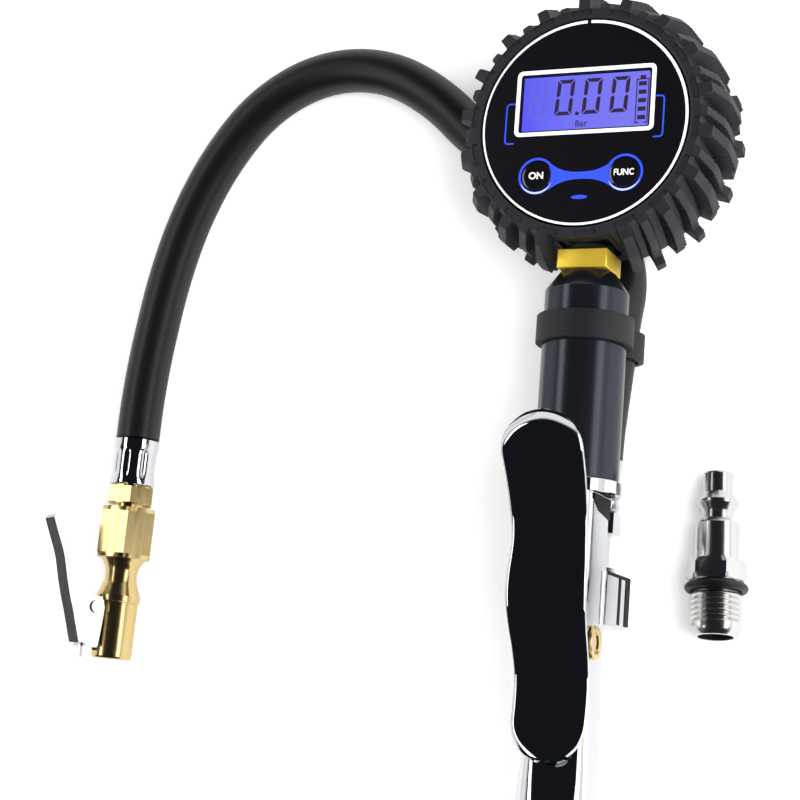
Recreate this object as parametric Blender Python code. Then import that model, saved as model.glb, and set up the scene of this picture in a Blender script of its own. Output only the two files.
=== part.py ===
"""Digital tyre inflator with a tyre-tread gauge boot, thumb lever, hose, clip-on chuck and a loose inlet plug.

The set lies on a table, z = 0. The tool's axis runs along +Y at height AXIS_Z, gauge face up. The row's origin is
on the table under the valve boss. Sizes below are in millimetres and turn into metres where a mesh is made.
"""

import math

import bmesh
import bpy
from mathutils import Matrix, Vector

MM = 0.001

# Tool axis and stations along it
AXIS_Z = 27.6
TUBE_R = 11.0
TUBE_LOW, TUBE_SHOULDER, TUBE_TOP = 35.4, 85.1, 90.1
CONE_TOP_R = 7.3
BLOCK_HALF = 6.75
BLOCK_LOW, BLOCK_TOP = 90.4, 95.4
CLIP_Y, CLIP_TALL = 74.5, 7.5
COLLAR_R, COLLAR_LOW, COLLAR_TOP = 12.1, 31.8, 35.1
BOSS_HALF, BOSS_LOW, BOSS_TOP = 8.3, -0.6, 13.0
INLET_R, INLET_END = 11.0, -70.0
INLET_BORE_R, INLET_BORE_DEEP = 6.2, 14.0

# Gauge head, measured from its own centre; z is up from the tool's axis
GAUGE_Y = 127.75
FACE_Z, FACE_R = 12.5, 27.9
BOOT_LIP_R, BOOT_FRONT, BOOT_BACK = 28.2, 12.9, -14.7
CASE_R, CASE_FRONT, CASE_BACK = 30.3, 11.0, -12.9
LUGS = 36
TALL_LUG, SHORT_LUG = 3.1, 1.7
PLAIN_LUGS = (25, 26, 27)
LCD_Y, LCD_HALF_X, LCD_HALF_Y = 5.74, 17.3, 7.6
BUTTON_X, BUTTON_Y, BUTTON_R = 11.84, -14.13, 4.0
STEM_HOLE = 7.1

# Lever and valve
PIVOT_Y, PIVOT_Z = -6.0, 6.5
LEVER_HALF, LEVER_THICK = 10.4, 1.6
EAR_IN, EAR_OUT = 7.7, 8.9
VALVE_Y = 12.0

# Hose, as headings and turns on the table; each step is (length, turn to the left in degrees)
HOSE_R = 6.4
HOSE_START_Y, HOSE_HEIGHT = 44.3, 8.3
HOSE_HEADING = 90.0
HOSE_STEPS = [
    (10, -5), (32.99, 0), (20.04, 35.62), (20.04, 28.77), (20.04, 0.98), (20.04, -15.74), (20.04, 16.64), (20.04, 27.73),
    (20.04, 27.88), (20.04, 24.13), (20.04, 12.76), (20.04, 10.36), (20.04, 6.99), (20.04, 5.61), (20.04, 2.03),
]
HOSE_POINTS_PER_STEP = 5
CLIP_HOSE_X = 2.2
BUTT_GAP = 0.3

# Clip-on chuck: distances run from the top of its ferrule to its mouth
CHUCK_AXIS = 7.75
CHUCK_MOUTH = 65.0
CLIP_LEAN = 130.0
HEX_TURN = -10.0  # from the clip lever's lean to the nearest hex corner
CLIP_PIVOT_S, CLIP_PIVOT_R = 50.5, 7.6

# Loose plug on the table
PLUG_TIP = (31.6, 41.5, 4.5)
PLUG_HEADING, PLUG_TILT = -86.7, 6.9

COLOURS = {
    "rubber": (0.03, 0.03, 0.035),
    "plastic": (0.02, 0.02, 0.025),
    "panel": (0.015, 0.015, 0.02),
    "clear": (0.8, 0.85, 1.0),
    "board": (0.03, 0.2, 0.09),
    "brass": (0.75, 0.56, 0.22),
    "anodised": (0.03, 0.03, 0.035),
    "chrome": (0.8, 0.8, 0.82),
    "nickel": (0.7, 0.7, 0.68),
    "steel": (0.55, 0.56, 0.58),
    "cell": (0.2, 0.2, 0.5),
}
METALS = {"brass", "anodised", "chrome", "nickel", "steel"}


def frame(origin, x_axis, z_axis):
    """Matrix that takes local millimetres to table millimetres, given where local X and Z point."""
    z = Vector(z_axis).normalized()
    x = Vector(x_axis)
    x = (x - z * x.dot(z)).normalized()
    y = z.cross(x)
    turn = Matrix((x, y, z)).transposed().to_4x4()
    return Matrix.Translation(origin) @ turn


ALONG_TOOL = frame((0, 0, AXIS_Z), (1, 0, 0), (0, 1, 0))  # local z runs up the tool, local y points to the table
GAUGE = frame((0, GAUGE_Y, AXIS_Z), (1, 0, 0), (0, 0, 1))
VALVE = frame((0, VALVE_Y, AXIS_Z), (1, 0, 0), (0, 0, 1))
ACROSS = frame((0, PIVOT_Y, AXIS_Z + PIVOT_Z), (0, 1, 0), (1, 0, 0))
FITTING = frame((0, 0, HOSE_HEIGHT), (1, 0, 0), (0, 1, 0))


def clear_scene():
    for obj in list(bpy.data.objects):
        bpy.data.objects.remove(obj, do_unlink=True)
    for mesh in list(bpy.data.meshes):
        bpy.data.meshes.remove(mesh)


def material(name):
    found = bpy.data.materials.get(name)
    if found:
        return found
    made = bpy.data.materials.new(name)
    made.use_nodes = True
    shader = made.node_tree.nodes["Principled BSDF"]
    shader.inputs["Base Color"].default_value = (*COLOURS[name], 1.0)
    shader.inputs["Metallic"].default_value = 1.0 if name in METALS else 0.0
    shader.inputs["Roughness"].default_value = 0.35
    return made


def solid(name, points, faces, place, slot="steel"):
    """A closed mesh object from local millimetres, with its faces turned outwards."""
    mesh = bpy.data.meshes.new(name)
    bm = bmesh.new()
    made = [bm.verts.new(place @ Vector(p) * MM) for p in points]
    for face in faces:
        bm.faces.new([made[i] for i in face])
    bmesh.ops.recalc_face_normals(bm, faces=bm.faces)
    bm.to_mesh(mesh)
    bm.free()
    obj = bpy.data.objects.new(name, mesh)
    bpy.context.scene.collection.objects.link(obj)
    mesh.materials.append(material(slot))
    return obj


def stacked(rings, looped=False):
    """Points and faces of rings with equal counts joined one to the next, capped unless they loop."""
    count = len(rings[0])
    points = [p for ring in rings for p in ring]
    pairs = [(i, i + 1) for i in range(len(rings) - 1)]
    if looped:
        pairs.append((len(rings) - 1, 0))
    faces = []
    for low, high in pairs:
        for k in range(count):
            n = (k + 1) % count
            faces.append((low * count + k, low * count + n, high * count + n, high * count + k))
    if not looped:
        faces.append(tuple(range(count)))
        faces.append(tuple((len(rings) - 1) * count + k for k in range(count)))
    return points, faces


def circle(radius, z, steps, x=0.0, y=0.0, start=0.0):
    """Ring of points about (x, y) at height z."""
    return [
        (x + radius * math.cos(start + math.tau * k / steps), y + radius * math.sin(start + math.tau * k / steps), z)
        for k in range(steps)
    ]


def turned(name, profile, place, slot, steps=32, start=0.0):
    """Solid of revolution from (radius, height) pairs listed from the bottom cap to the top cap."""
    rings = [circle(r, h, steps, start=start) for r, h in profile]
    return solid(name, *stacked(rings), place, slot)


def ringed(name, profile, place, slot, steps=32, start=0.0):
    """Ring of revolution from a closed loop of (radius, height) pairs."""
    rings = [circle(r, h, steps, start=start) for r, h in profile]
    return solid(name, *stacked(rings, looped=True), place, slot)


def tube(name, outer, inner, low, high, place, slot, steps=32):
    return ringed(name, [(inner, low), (outer, low), (outer, high), (inner, high)], place, slot, steps)


def hexagon(name, flats, low, high, place, slot, start=0.0, chamfer=0.8):
    """Hexagonal prism with its ends chamfered by drawing in the corners."""
    corner = flats / math.sqrt(3)
    inner = corner - chamfer
    profile = [(inner, low), (corner, low + chamfer * 0.6), (corner, high - chamfer * 0.6), (inner, high)]
    return turned(name, profile, place, slot, steps=6, start=start)


def block(name, low, high, place, slot="steel"):
    (x0, y0, z0), (x1, y1, z1) = low, high
    rings = [[(x0, y0, z), (x1, y0, z), (x1, y1, z), (x0, y1, z)] for z in (z0, z1)]
    return solid(name, *stacked(rings), place, slot)


def prism(name, outline, low, high, place, slot="steel"):
    """Outline of local (x, y) points extruded in local z."""
    rings = [[(x, y, z) for x, y in outline] for z in (low, high)]
    return solid(name, *stacked(rings), place, slot)


def rounded(half_x, low, high, radius, y, arc=4):
    """Rounded rectangle ring in the XZ plane at station y: width 2 half_x, z from low to high."""
    ring = []
    corners = ((1, high, 0), (-1, high, 90), (-1, low, 180), (1, low, 270))
    for side, level, start in corners:
        cx = side * (half_x - radius)
        cz = level - radius if level == high else level + radius
        for k in range(arc + 1):
            turn = math.radians(start + 90 * k / arc)
            ring.append((cx + radius * math.cos(turn), y, cz + radius * math.sin(turn)))
    return ring


def combine(target, other, operation="DIFFERENCE"):
    """Applies a Boolean of other to target and removes other."""
    modifier = target.modifiers.new(operation.title(), "BOOLEAN")
    modifier.operation = operation
    modifier.solver = "EXACT"
    modifier.object = other
    graph = bpy.context.evaluated_depsgraph_get()
    made = bpy.data.meshes.new_from_object(target.evaluated_get(graph))
    target.modifiers.clear()
    target.data = made
    bpy.data.objects.remove(other, do_unlink=True)
    return target


def drill(target, radius, low, high, place, steps=24, x=0.0, y=0.0):
    rings = [circle(radius, z, steps, x, y) for z in (low, high)]
    return combine(target, solid("drill", *stacked(rings), place))


def hinge_on(obj, point):
    """Moves the object's origin to a table point in millimetres, leaving its shape where it is."""
    spot = Vector(point) * MM
    obj.data.transform(Matrix.Translation(-spot))
    obj.location = spot


def wire(name, points, radius, slot, sides=2):
    """Closed round wire along table points in millimetres."""
    data = bpy.data.curves.new(name, "CURVE")
    data.dimensions = "3D"
    data.bevel_depth = radius * MM
    data.bevel_resolution = sides
    data.use_fill_caps = True
    spline = data.splines.new("POLY")
    spline.points.add(len(points) - 1)
    for slot_point, point in zip(spline.points, points):
        slot_point.co = (*(Vector(point) * MM), 1.0)
    obj = bpy.data.objects.new(name, data)
    bpy.context.scene.collection.objects.link(obj)
    data.materials.append(material(slot))
    return obj


def helix(radius, low, high, turns, steps, place):
    count = int(turns * steps)
    points = []
    for k in range(count + 1):
        share = k / count
        angle = math.tau * turns * share
        points.append(place @ Vector((radius * math.cos(angle), radius * math.sin(angle), low + (high - low) * share)))
    return points


def smooth(share):
    share = min(max(share, 0.0), 1.0)
    return share * share * (3 - 2 * share)


# ---------------------------------------------------------------- gauge head

def lug_reach(k, per_lug=4):
    """How far the tread stands out at sample k of the boot's outline."""
    lug, part = divmod(k, per_lug)
    if part in (0, 3) or lug in PLAIN_LUGS:
        return 0.0
    return TALL_LUG if lug % 2 else SHORT_LUG


def boot():
    """Rubber boot like a tyre: lip round the face, treads on the side, open back for the battery cover."""
    per_lug = 4
    outer_count = LUGS * per_lug
    offsets = (0.0, 0.12, 0.55, 0.67)

    def tread_ring(radius, z, share):
        ring = []
        for k in range(outer_count):
            lug, part = divmod(k, per_lug)
            angle = math.tau * (lug + offsets[part]) / LUGS
            reach = radius + share * lug_reach(k)
            ring.append((reach * math.cos(angle), reach * math.sin(angle), z))
        return ring

    outer = [
        tread_ring(31.9, BOOT_FRONT, 0.0),
        tread_ring(32.5, BOOT_FRONT - 0.8, 1.0),
        tread_ring(34.4, 0.0, 1.0),
        tread_ring(34.2, -10.5, 1.0),
        tread_ring(31.2, BOOT_BACK, 0.0),
    ]
    inner = [
        circle(24.0, BOOT_BACK, LUGS),
        circle(24.0, CASE_BACK - 0.3, LUGS),
        circle(CASE_R + 0.3, CASE_BACK - 0.3, LUGS),
        circle(CASE_R + 0.3, CASE_FRONT + 0.3, LUGS),
        circle(BOOT_LIP_R, CASE_FRONT + 0.3, LUGS),
        circle(BOOT_LIP_R, BOOT_FRONT, LUGS),
    ]
    points = [p for ring in outer + inner for p in ring]
    faces = []
    for row in range(len(outer) - 1):
        for k in range(outer_count):
            n = (k + 1) % outer_count
            a, b = row * outer_count, (row + 1) * outer_count
            faces.append((a + k, a + n, b + n, b + k))
    base = len(outer) * outer_count
    for row in range(len(inner) - 1):
        for k in range(LUGS):
            n = (k + 1) % LUGS
            a, b = base + row * LUGS, base + (row + 1) * LUGS
            faces.append((a + k, a + n, b + n, b + k))
    # Flat annuli: each inner edge faces the outline samples of one lug.
    last_outer, last_inner = (len(outer) - 1) * outer_count, base + (len(inner) - 1) * LUGS
    for outer_row, inner_row in ((0, last_inner), (last_outer, base)):
        for lug in range(LUGS):
            span = [outer_row + (lug * per_lug + part) % outer_count for part in range(per_lug + 1)]
            faces.append((*span, inner_row + (lug + 1) % LUGS, inner_row + lug))
    made = solid("gauge_boot", points, faces, GAUGE, "rubber")
    hole = block("hole", (-STEM_HOLE, -44, -STEM_HOLE), (STEM_HOLE, -26, STEM_HOLE), GAUGE)
    return combine(made, hole)


def case():
    """Black cup that holds the electronics, with a stem hole at its foot and a battery opening in its back."""
    profile = [
        (CASE_R, CASE_BACK), (CASE_R, CASE_FRONT), (28.4, CASE_FRONT), (28.4, 5.6), (27.6, 5.6), (27.6, -10.9),
    ]
    rings = [circle(r, z, 48) for r, z in profile]
    shell = solid("gauge_case", *stacked(rings), GAUGE, "plastic")
    combine(shell, block("opening", (-23.6, -10.0, -14), (23.6, 15.0, -9), GAUGE))
    combine(shell, block("screw_hole", (-1.3, 18.2, -14), (1.3, 20.8, -9), GAUGE))
    across = frame((0, GAUGE_Y, AXIS_Z), (1, 0, 0), (0, 1, 0))
    return drill(shell, 5.0, -32, -25, across)


def button(name, x):
    profile = [(1.5, 9.2), (1.5, 10.1), (4.8, 10.1), (4.8, 10.9), (BUTTON_R, 10.9), (BUTTON_R, 12.9), (3.5, 13.3)]
    rings = [circle(r, z, 24, x, BUTTON_Y) for r, z in profile]
    made = solid(name, *stacked(rings), GAUGE, "plastic")
    hinge_on(made, (x, GAUGE_Y + BUTTON_Y, AXIS_Z + 9.2))


def gauge_head():
    boot()
    case()
    panel = turned("face_panel", [(FACE_R, 11.3), (FACE_R, FACE_Z)], GAUGE, "panel", 48)
    window_hole = block(
        "window_hole",
        (-LCD_HALF_X, LCD_Y - LCD_HALF_Y, 10),
        (LCD_HALF_X, LCD_Y + LCD_HALF_Y, 14),
        GAUGE,
    )
    combine(panel, window_hole)
    for side in (-1, 1):
        drill(panel, BUTTON_R + 0.3, 10, 14, GAUGE, x=side * BUTTON_X, y=BUTTON_Y)
    gap = 0.3
    block(
        "lcd_window",
        (-LCD_HALF_X + gap, LCD_Y - LCD_HALF_Y + gap, 11.5),
        (LCD_HALF_X - gap, LCD_Y + LCD_HALF_Y - gap, 12.4),
        GAUGE,
        "clear",
    )
    block("lcd_module", (-18.5, LCD_Y - 8.8, 8.2), (18.5, LCD_Y + 8.8, 10.9), GAUGE, "clear")
    board = turned("circuit_board", [(25.6, 6.0), (25.6, 7.6)], GAUGE, "board", 48)
    combine(board, block("notch", (-7.5, -27, 5), (7.5, -18.5, 9), GAUGE))
    button("on_button", -BUTTON_X)
    button("func_button", BUTTON_X)
    for name, x in (("on_switch", -BUTTON_X), ("func_switch", BUTTON_X)):
        block(name, (x - 2.6, BUTTON_Y - 2.6, 7.9), (x + 2.6, BUTTON_Y + 2.6, 8.5), GAUGE, "steel")
    for name, y in (("battery_upper", 8.6), ("battery_lower", -3.4)):
        cell = frame((0, GAUGE_Y + y, AXIS_Z - 4.4), (0, 1, 0), (1, 0, 0))
        turned(name, [(5.2, -21.6), (5.2, 21.2), (1.9, 21.2), (1.9, 22.2)], cell, "cell", 20)
    for name, x in (("battery_contact_left", -22.7), ("battery_contact_right", 22.7)):
        block(name, (x - 0.2, -7.5, -8.4), (x + 0.2, 12.7, -0.4), GAUGE, "nickel")
    cover = turned("battery_cover", [(23.7, -14.5), (23.7, -13.2)], GAUGE, "plastic", 48)
    drill(cover, 1.3, -16, -12, GAUGE, y=19.5)
    screw_profile = [(1.8, -15.4), (2.1, -14.8), (1.0, -14.8), (1.0, -10.5)]
    screw = [circle(r, z, 12, 0, 19.5) for r, z in screw_profile]
    solid("battery_cover_screw", *stacked(screw), GAUGE, "steel")


# ---------------------------------------------------------------- stem, tube and clip

def stem_and_tube():
    stem_block = block(
        "gauge_stem",
        (-BLOCK_HALF, -BLOCK_HALF, BLOCK_LOW),
        (BLOCK_HALF, BLOCK_HALF, BLOCK_TOP),
        ALONG_TOOL,
        "brass",
    )
    for radius, low, high in ((5.4, 79.0, 91.0), (4.6, 95.0, 101.6)):
        combine(stem_block, turned("spigot", [(radius, low), (radius, high)], ALONG_TOOL, "brass", 24), "UNION")
    drill(stem_block, 1.5, 78, 103, ALONG_TOOL, 12)
    tube("stem_seal", 6.6, 4.95, 95.7, 96.9, ALONG_TOOL, "rubber", 24)
    turned("pressure_sensor", [(5.4, 101.9), (5.4, 107.0), (3.6, 107.0), (3.6, 108.6)], ALONG_TOOL, "steel", 20)

    profile = [
        (8.6, TUBE_LOW), (TUBE_R, TUBE_LOW), (TUBE_R, TUBE_SHOULDER), (CONE_TOP_R, TUBE_TOP), (5.7, TUBE_TOP),
        (5.7, 78.0), (8.6, 76.0),
    ]
    ringed("barrel_tube", profile, ALONG_TOOL, "anodised", 48)
    hose_x = CLIP_HOSE_X
    hose_drop = AXIS_Z - HOSE_HEIGHT
    low, high = CLIP_Y - CLIP_TALL / 2, CLIP_Y + CLIP_TALL / 2
    clip = turned("hose_clip", [(12.75, low), (12.75, high)], ALONG_TOOL, "rubber", 40)
    loop = [circle(HOSE_HEIGHT, z, 32, hose_x, hose_drop) for z in (low, high)]
    combine(clip, solid("loop", *stacked(loop), ALONG_TOOL), "UNION")
    drill(clip, TUBE_R + 0.15, low - 1, high + 1, ALONG_TOOL, 48)
    drill(clip, HOSE_R + 0.4, low - 1, high + 1, ALONG_TOOL, 32, hose_x, hose_drop)


# ---------------------------------------------------------------- body, lever and valve

def body():
    """Chromed casting: collar and spigot, slim grip, rear boss for the hose port, round inlet boss."""
    stations = [
        (32.5, 7.2, -9.5, 9.4, 3.5),
        (14.0, 7.4, -10.0, 9.8, 3.5),
        (-6.0, 7.4, -10.5, 10.4, 3.0),
        (-16.0, 7.4, -10.8, 6.6, 3.0),
        (-24.0, 8.2, -11.0, 6.2, 4.0),
        (-40.0, 9.2, -11.0, 7.4, 5.5),
        (-54.0, 10.2, -10.6, 9.8, 8.0),
        (-58.0, 10.6, -10.6, 10.6, 10.0),
    ]
    rings = [rounded(half, low, high, radius, y) for y, half, low, high, radius in stations]
    upright = frame((0, 0, AXIS_Z), (1, 0, 0), (0, 0, 1))
    made = solid("body", *stacked(rings), upright, "chrome")
    collar_profile = [
        (COLLAR_R, COLLAR_LOW), (COLLAR_R, COLLAR_TOP), (8.2, COLLAR_TOP), (8.2, 39.8), (7.4, 39.8), (7.4, 41.8),
        (8.2, 41.8), (8.2, 50.0),
    ]
    combine(made, turned("collar", collar_profile, ALONG_TOOL, "chrome", 48), "UNION")
    boss = [rounded(BOSS_HALF, -AXIS_Z, -4.0, 2.0, y) for y in (BOSS_LOW, BOSS_TOP)]
    combine(made, solid("boss", *stacked(boss), upright, "chrome"), "UNION")
    inlet = [(INLET_R - 1, INLET_END), (INLET_R, INLET_END + 1), (INLET_R, -57.0), (INLET_R - 1.5, -55.0)]
    combine(made, turned("inlet_boss", inlet, ALONG_TOOL, "chrome", 40), "UNION")
    drill(made, INLET_BORE_R, INLET_END - 1, INLET_END + INLET_BORE_DEEP, ALONG_TOOL, 32)
    drill(made, 2.2, -60, 10, ALONG_TOOL, 12, y=6.0)
    drill(made, 2.2, 14, 52, ALONG_TOOL, 12, y=0.0)
    drill(made, 4.0, -10.2, 12, VALVE, 24)
    drill(made, 4.3, 4.5, BOSS_TOP + 1, FITTING, 24)
    drill(made, 1.5, -20, -9, VALVE, 12, y=-2.5)
    drill(made, 2.1, -12, 12, ACROSS, 20)
    tube("barrel_seal", 8.45, 7.65, 40.1, 41.5, ALONG_TOOL, "rubber", 24)
    bore_end = INLET_END + INLET_BORE_DEEP
    tube("inlet_filter", 5.9, 2.4, bore_end - 1.6, bore_end - 0.3, ALONG_TOOL, "steel", 24)
    return made


def lever_height(y):
    """Front surface of the lever above the tool's axis: flared tip, dip, hump over the ears and curled tail."""
    knots = [
        (-36, 14.2), (-30, 12.2), (-23, 10.8), (-16, 11.0), (-10, 13.4), (-4, 17.0), (2, 19.5), (8, 20.2),
        (14, 19.7), (20, 19.9), (26, 22.0), (32, 25.3), (38, 29.4), (43, 31.8), (49, 33.0),
    ]
    for (y0, z0), (y1, z1) in zip(knots, knots[1:]):
        if y <= y1:
            share = (y - y0) / (y1 - y0)
            return z0 + (z1 - z0) * share
    return knots[-1][1]


def lever_half(y):
    """Half width of the lever: widest near the tip, waisted halfway, wider again over the pivot."""
    knots = [(-36, 9.6), (-15, 9.7), (-4, 10.1), (2, 10.3), (11, 10.1), (18, 9.7), (27, 10.0), (36, 10.4), (49, 10.4)]
    for (y0, w0), (y1, w1) in zip(knots, knots[1:]):
        if y <= y1:
            return w0 + (w1 - w0) * (y - y0) / (y1 - y0)
    return knots[-1][1]


def lever():
    """Thumb lever: S-shaped plate with rounded ends and two ears on the pivot."""
    tip, tail, thick = 48.3, -35.5, LEVER_THICK
    ys = [tail, tail + 0.8, tail + 2.5, tail + 5, tail + 9, -22, -17, -13, -10, -7, -4, -1, 2, 5, 8, 14, 20, 25, 29]
    ys += [33, 37, tip - 9, tip - 5.5, tip - 2.8, tip - 0.9, tip]
    rings = []
    for y in ys:
        run = min(tip - y, y - tail)
        half = lever_half(y)
        if run < half:
            half = max(math.sqrt(half**2 - (half - run) ** 2), 2.2)
        slope = (lever_height(y + 1) - lever_height(y - 1)) / 2 if tail < y < tip else 0.2
        normal = Vector((0, -slope, 1)).normalized()
        front = Vector((0, y, lever_height(y)))
        back = front - normal * thick
        ring = []
        for x, point, dip in (
            (-half, front, 1.3), (-half * 0.6, front, 0.4), (0, front, 0.0), (half * 0.6, front, 0.4),
            (half, front, 1.3), (half, back, 0.7), (half * 0.6, back, 0.3), (0, back, 0.0),
            (-half * 0.6, back, 0.3), (-half, back, 0.7),
        ):
            drop = normal * dip * (half / LEVER_HALF)
            ring.append((x, point.y - drop.y, point.z - drop.z))
        rings.append(ring)
    upright = frame((0, 0, AXIS_Z), (1, 0, 0), (0, 0, 1))
    made = solid("trigger_lever", *stacked(rings), upright, "chrome")
    top = [(y, lever_height(y) - 1.7) for y in (-11, -7, -4, -1, 2, 5, 8)]
    foot = [
        (PIVOT_Y + 4.6 * math.cos(a), PIVOT_Z + 4.6 * math.sin(a))
        for a in (math.radians(d) for d in (0, -30, -60, -90, -120, -150, -180))
    ]
    outline = [(y, z) for y, z in [*top, *foot]]
    side = frame((0, 0, AXIS_Z), (0, 1, 0), (1, 0, 0))
    for low in (EAR_IN, -EAR_OUT):
        combine(made, prism("ear", outline, low, low + EAR_OUT - EAR_IN, side, "chrome"), "UNION")
    drill(made, 2.1, -12, 12, ACROSS, 20)
    hinge_on(made, (0, PIVOT_Y, AXIS_Z + PIVOT_Z))


def lever_and_valve():
    lever()
    pin = [(2.0, -10.4), (2.0, 9.2), (4.3, 9.2), (4.3, 10.1), (2.6, 10.1), (2.6, 9.7)]
    turned("lever_pin", pin, ACROSS, "brass", 20)
    tube("lever_pin_clip", 3.6, 2.1, -10.0, -9.2, ACROSS, "steel", 20)
    ringed(
        "valve_bush",
        [(1.75, 4.0), (3.7, 4.0), (3.7, 10.3), (4.7, 10.3), (4.7, 11.7), (4.2, 12.2), (1.75, 12.2)],
        VALVE,
        "brass",
        24,
    )
    stem = [(1.2, -3.0), (1.2, 0.6), (3.3, 0.6), (3.3, 2.1), (1.6, 2.1), (1.6, 17.2), (1.0, 17.6)]
    turned("valve_stem", stem, VALVE, "steel", 16)
    tube("valve_seal", 3.3, 1.9, 2.4, 3.7, VALVE, "rubber", 16)
    wire("valve_spring", helix(2.45, -9.4, -0.1, 5.0, 10, VALVE), 0.32, "steel", 0)


# ---------------------------------------------------------------- hose and chuck

def hose_route():
    """Table points along the hose and the heading at its end: up the tool's back, under the gauge, round to the chuck."""
    heading = math.radians(HOSE_HEADING)
    x, y, run = 0.0, HOSE_START_Y, 0.0
    flat = [(x, y, run)]
    for length, turn in HOSE_STEPS:
        bend = math.radians(turn) / HOSE_POINTS_PER_STEP
        step = length / HOSE_POINTS_PER_STEP
        for _ in range(HOSE_POINTS_PER_STEP):
            heading += bend / 2
            x += step * math.cos(heading)
            y += step * math.sin(heading)
            heading += bend / 2
            run += step
            flat.append((x, y, run))
    total = run
    points = []
    for px, py, run in flat:
        from_clip = smooth((run - 35.0) / 16.0)
        to_chuck = smooth((run - (total - 40.0)) / 34.0)
        height = HOSE_HEIGHT + (HOSE_R - HOSE_HEIGHT) * from_clip + (CHUCK_AXIS - HOSE_R) * to_chuck
        points.append((px, py, height))
    return points, heading


def crimped(name, place):
    """Crimped ferrule: a plain collar, eight pressed flats and a flared end."""
    profile = [(3.4, 0.0), (6.45, 0.0), (6.45, 3.2), (6.0, 3.9), (6.0, 11.0), (6.5, 13.2), (6.5, 13.7), (3.4, 13.7)]
    return ringed(name, profile, place, "chrome", 24)


def tool_end_fitting():
    low = BOSS_TOP + BUTT_GAP
    profile = [(4.0, 5.0), (4.0, low), (6.0, low), (6.0, 15.0), (4.3, 15.8), (4.3, 23.8), (3.0, 23.8), (3.0, 43.4)]
    made = turned("hose_fitting", profile, FITTING, "brass", 24)
    combine(made, hexagon("nut", 12.0, 23.6, 30.0, FITTING, "brass", math.radians(30)), "UNION")
    top = frame((0, HOSE_START_Y - BUTT_GAP, HOSE_HEIGHT), (1, 0, 0), (0, -1, 0))
    crimped("hose_ferrule", top)


def chuck(end, heading):
    along = Vector((math.cos(heading), math.sin(heading), 0.0))
    lean = Vector((math.cos(math.radians(CLIP_LEAN)), 0.0, math.sin(math.radians(CLIP_LEAN))))
    start = Vector((end[0], end[1], CHUCK_AXIS)) + along * BUTT_GAP
    place = frame(start, lean, along)  # local x leans towards the clip lever, local z runs to the mouth
    crimped("chuck_ferrule", place)
    barb = hexagon("chuck_nut", 12.6, 14.0, 19.6, place, "brass", math.radians(HEX_TURN))
    for radius, low, high in ((3.0, 0.4, 14.4), (4.2, 19.0, 27.0)):
        combine(barb, turned("barb", [(radius, low), (radius, high)], place, "brass", 20), "UNION")
    drill(barb, 1.5, 0, 28, place, 12)

    waist = [(6.6, 34.0), (5.4, 36.4), (4.65, 39.5), (4.65, 41.0), (5.2, 44.0), (6.4, 46.6), (6.4, 48.4)]
    made = turned("chuck_body", [*waist, (5.9, 48.6), (5.9, CHUCK_MOUTH - 0.6), (5.4, CHUCK_MOUTH)], place, "brass", 24)
    combine(made, hexagon("hex", 15.4, 20.6, 34.6, place, "brass", math.radians(HEX_TURN), 1.2), "UNION")
    combine(made, block("lug", (4.0, -2.9, 47.4), (CLIP_PIVOT_R + 2.0, 2.9, 53.6), place, "brass"), "UNION")
    combine(made, block("spring_gap", (5.3, -1.4, 47.9), (11.0, 1.4, 53.1), place))
    drill(made, 4.5, 19, 28, place, 20)
    drill(made, 1.4, 26, 54, place, 12)
    drill(made, 4.4, 51.5, CHUCK_MOUTH + 1, place, 24)
    combine(made, block("jaw_slot", (2.5, -2.6, 60.4), (8.0, 2.6, 63.0), place))
    across = place @ frame((CLIP_PIVOT_R, 0, CLIP_PIVOT_S), (0, 0, 1), (0, 1, 0))
    drill(made, 1.3, -4, 4, across, 16)
    tube("chuck_seal", 4.1, 2.0, 51.9, 56.0, place, "rubber", 24)
    pin = turned("chuck_pin", [(1.1, 44.0), (1.1, 58.0), (0.7, 58.6)], place, "brass", 12)
    hinge_on(pin, place @ Vector((0, 0, 44.0)))
    clip_lever(place, across)
    turned("clip_pivot_pin", [(1.9, -5.4), (1.9, -4.7), (1.2, -4.7), (1.2, 5.3)], across, "steel", 16)
    wire("clip_spring", helix(1.75, -0.95, 0.95, 2.5, 10, across), 0.25, "steel", 0)


def clip_lever(place, across):
    """Steel channel: bent thumb strip, two ears on the pivot pin and a jaw that reaches into the chuck's slot."""
    half, sheet = 4.4, 0.9
    run = [(25.4, 23.2), (26.4, 23.6), (35.0, 19.9), (43.7, 17.4), (52.0, 14.7), (61.3, 11.8)]
    outline = [(x, s) for s, x in run] + [(x - sheet, s) for s, x in reversed(run)]
    side = place @ frame((0, 0, 0), (1, 0, 0), (0, -1, 0))  # local x leans out, local y runs to the mouth
    made = prism("clip_lever", outline, -half, half, side, "chrome")
    ear = [
        (22.5, 27.3), (19.3, 35.1), (16.8, 43.8), (14.1, 52.2), (11.3, 60.8), (9.4, 61.9), (5.9, 61.7), (5.4, 55.0),
        (5.2, 50.5), (5.9, 48.2), (7.6, 47.4), (11.2, 46.6), (14.4, 42.6), (17.4, 35.0), (21.0, 27.6),
    ]
    for low in (0.07 - half, half - 0.97):
        combine(made, prism("ear", ear, low, low + 0.9, side, "chrome"), "UNION")
    jaw = block("jaw", (4.9, -2.2, 61.2), (11.2, 2.2, 62.2), place, "chrome")
    combine(made, jaw, "UNION")
    combine(made, block("toe", (9.2, -3.3, 60.9), (10.1, -1.3, 65.3), place, "chrome"), "UNION")
    drill(made, 1.3, -6, 6, across, 16)
    hinge_on(made, across @ Vector((0, 0, 0)))


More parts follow.
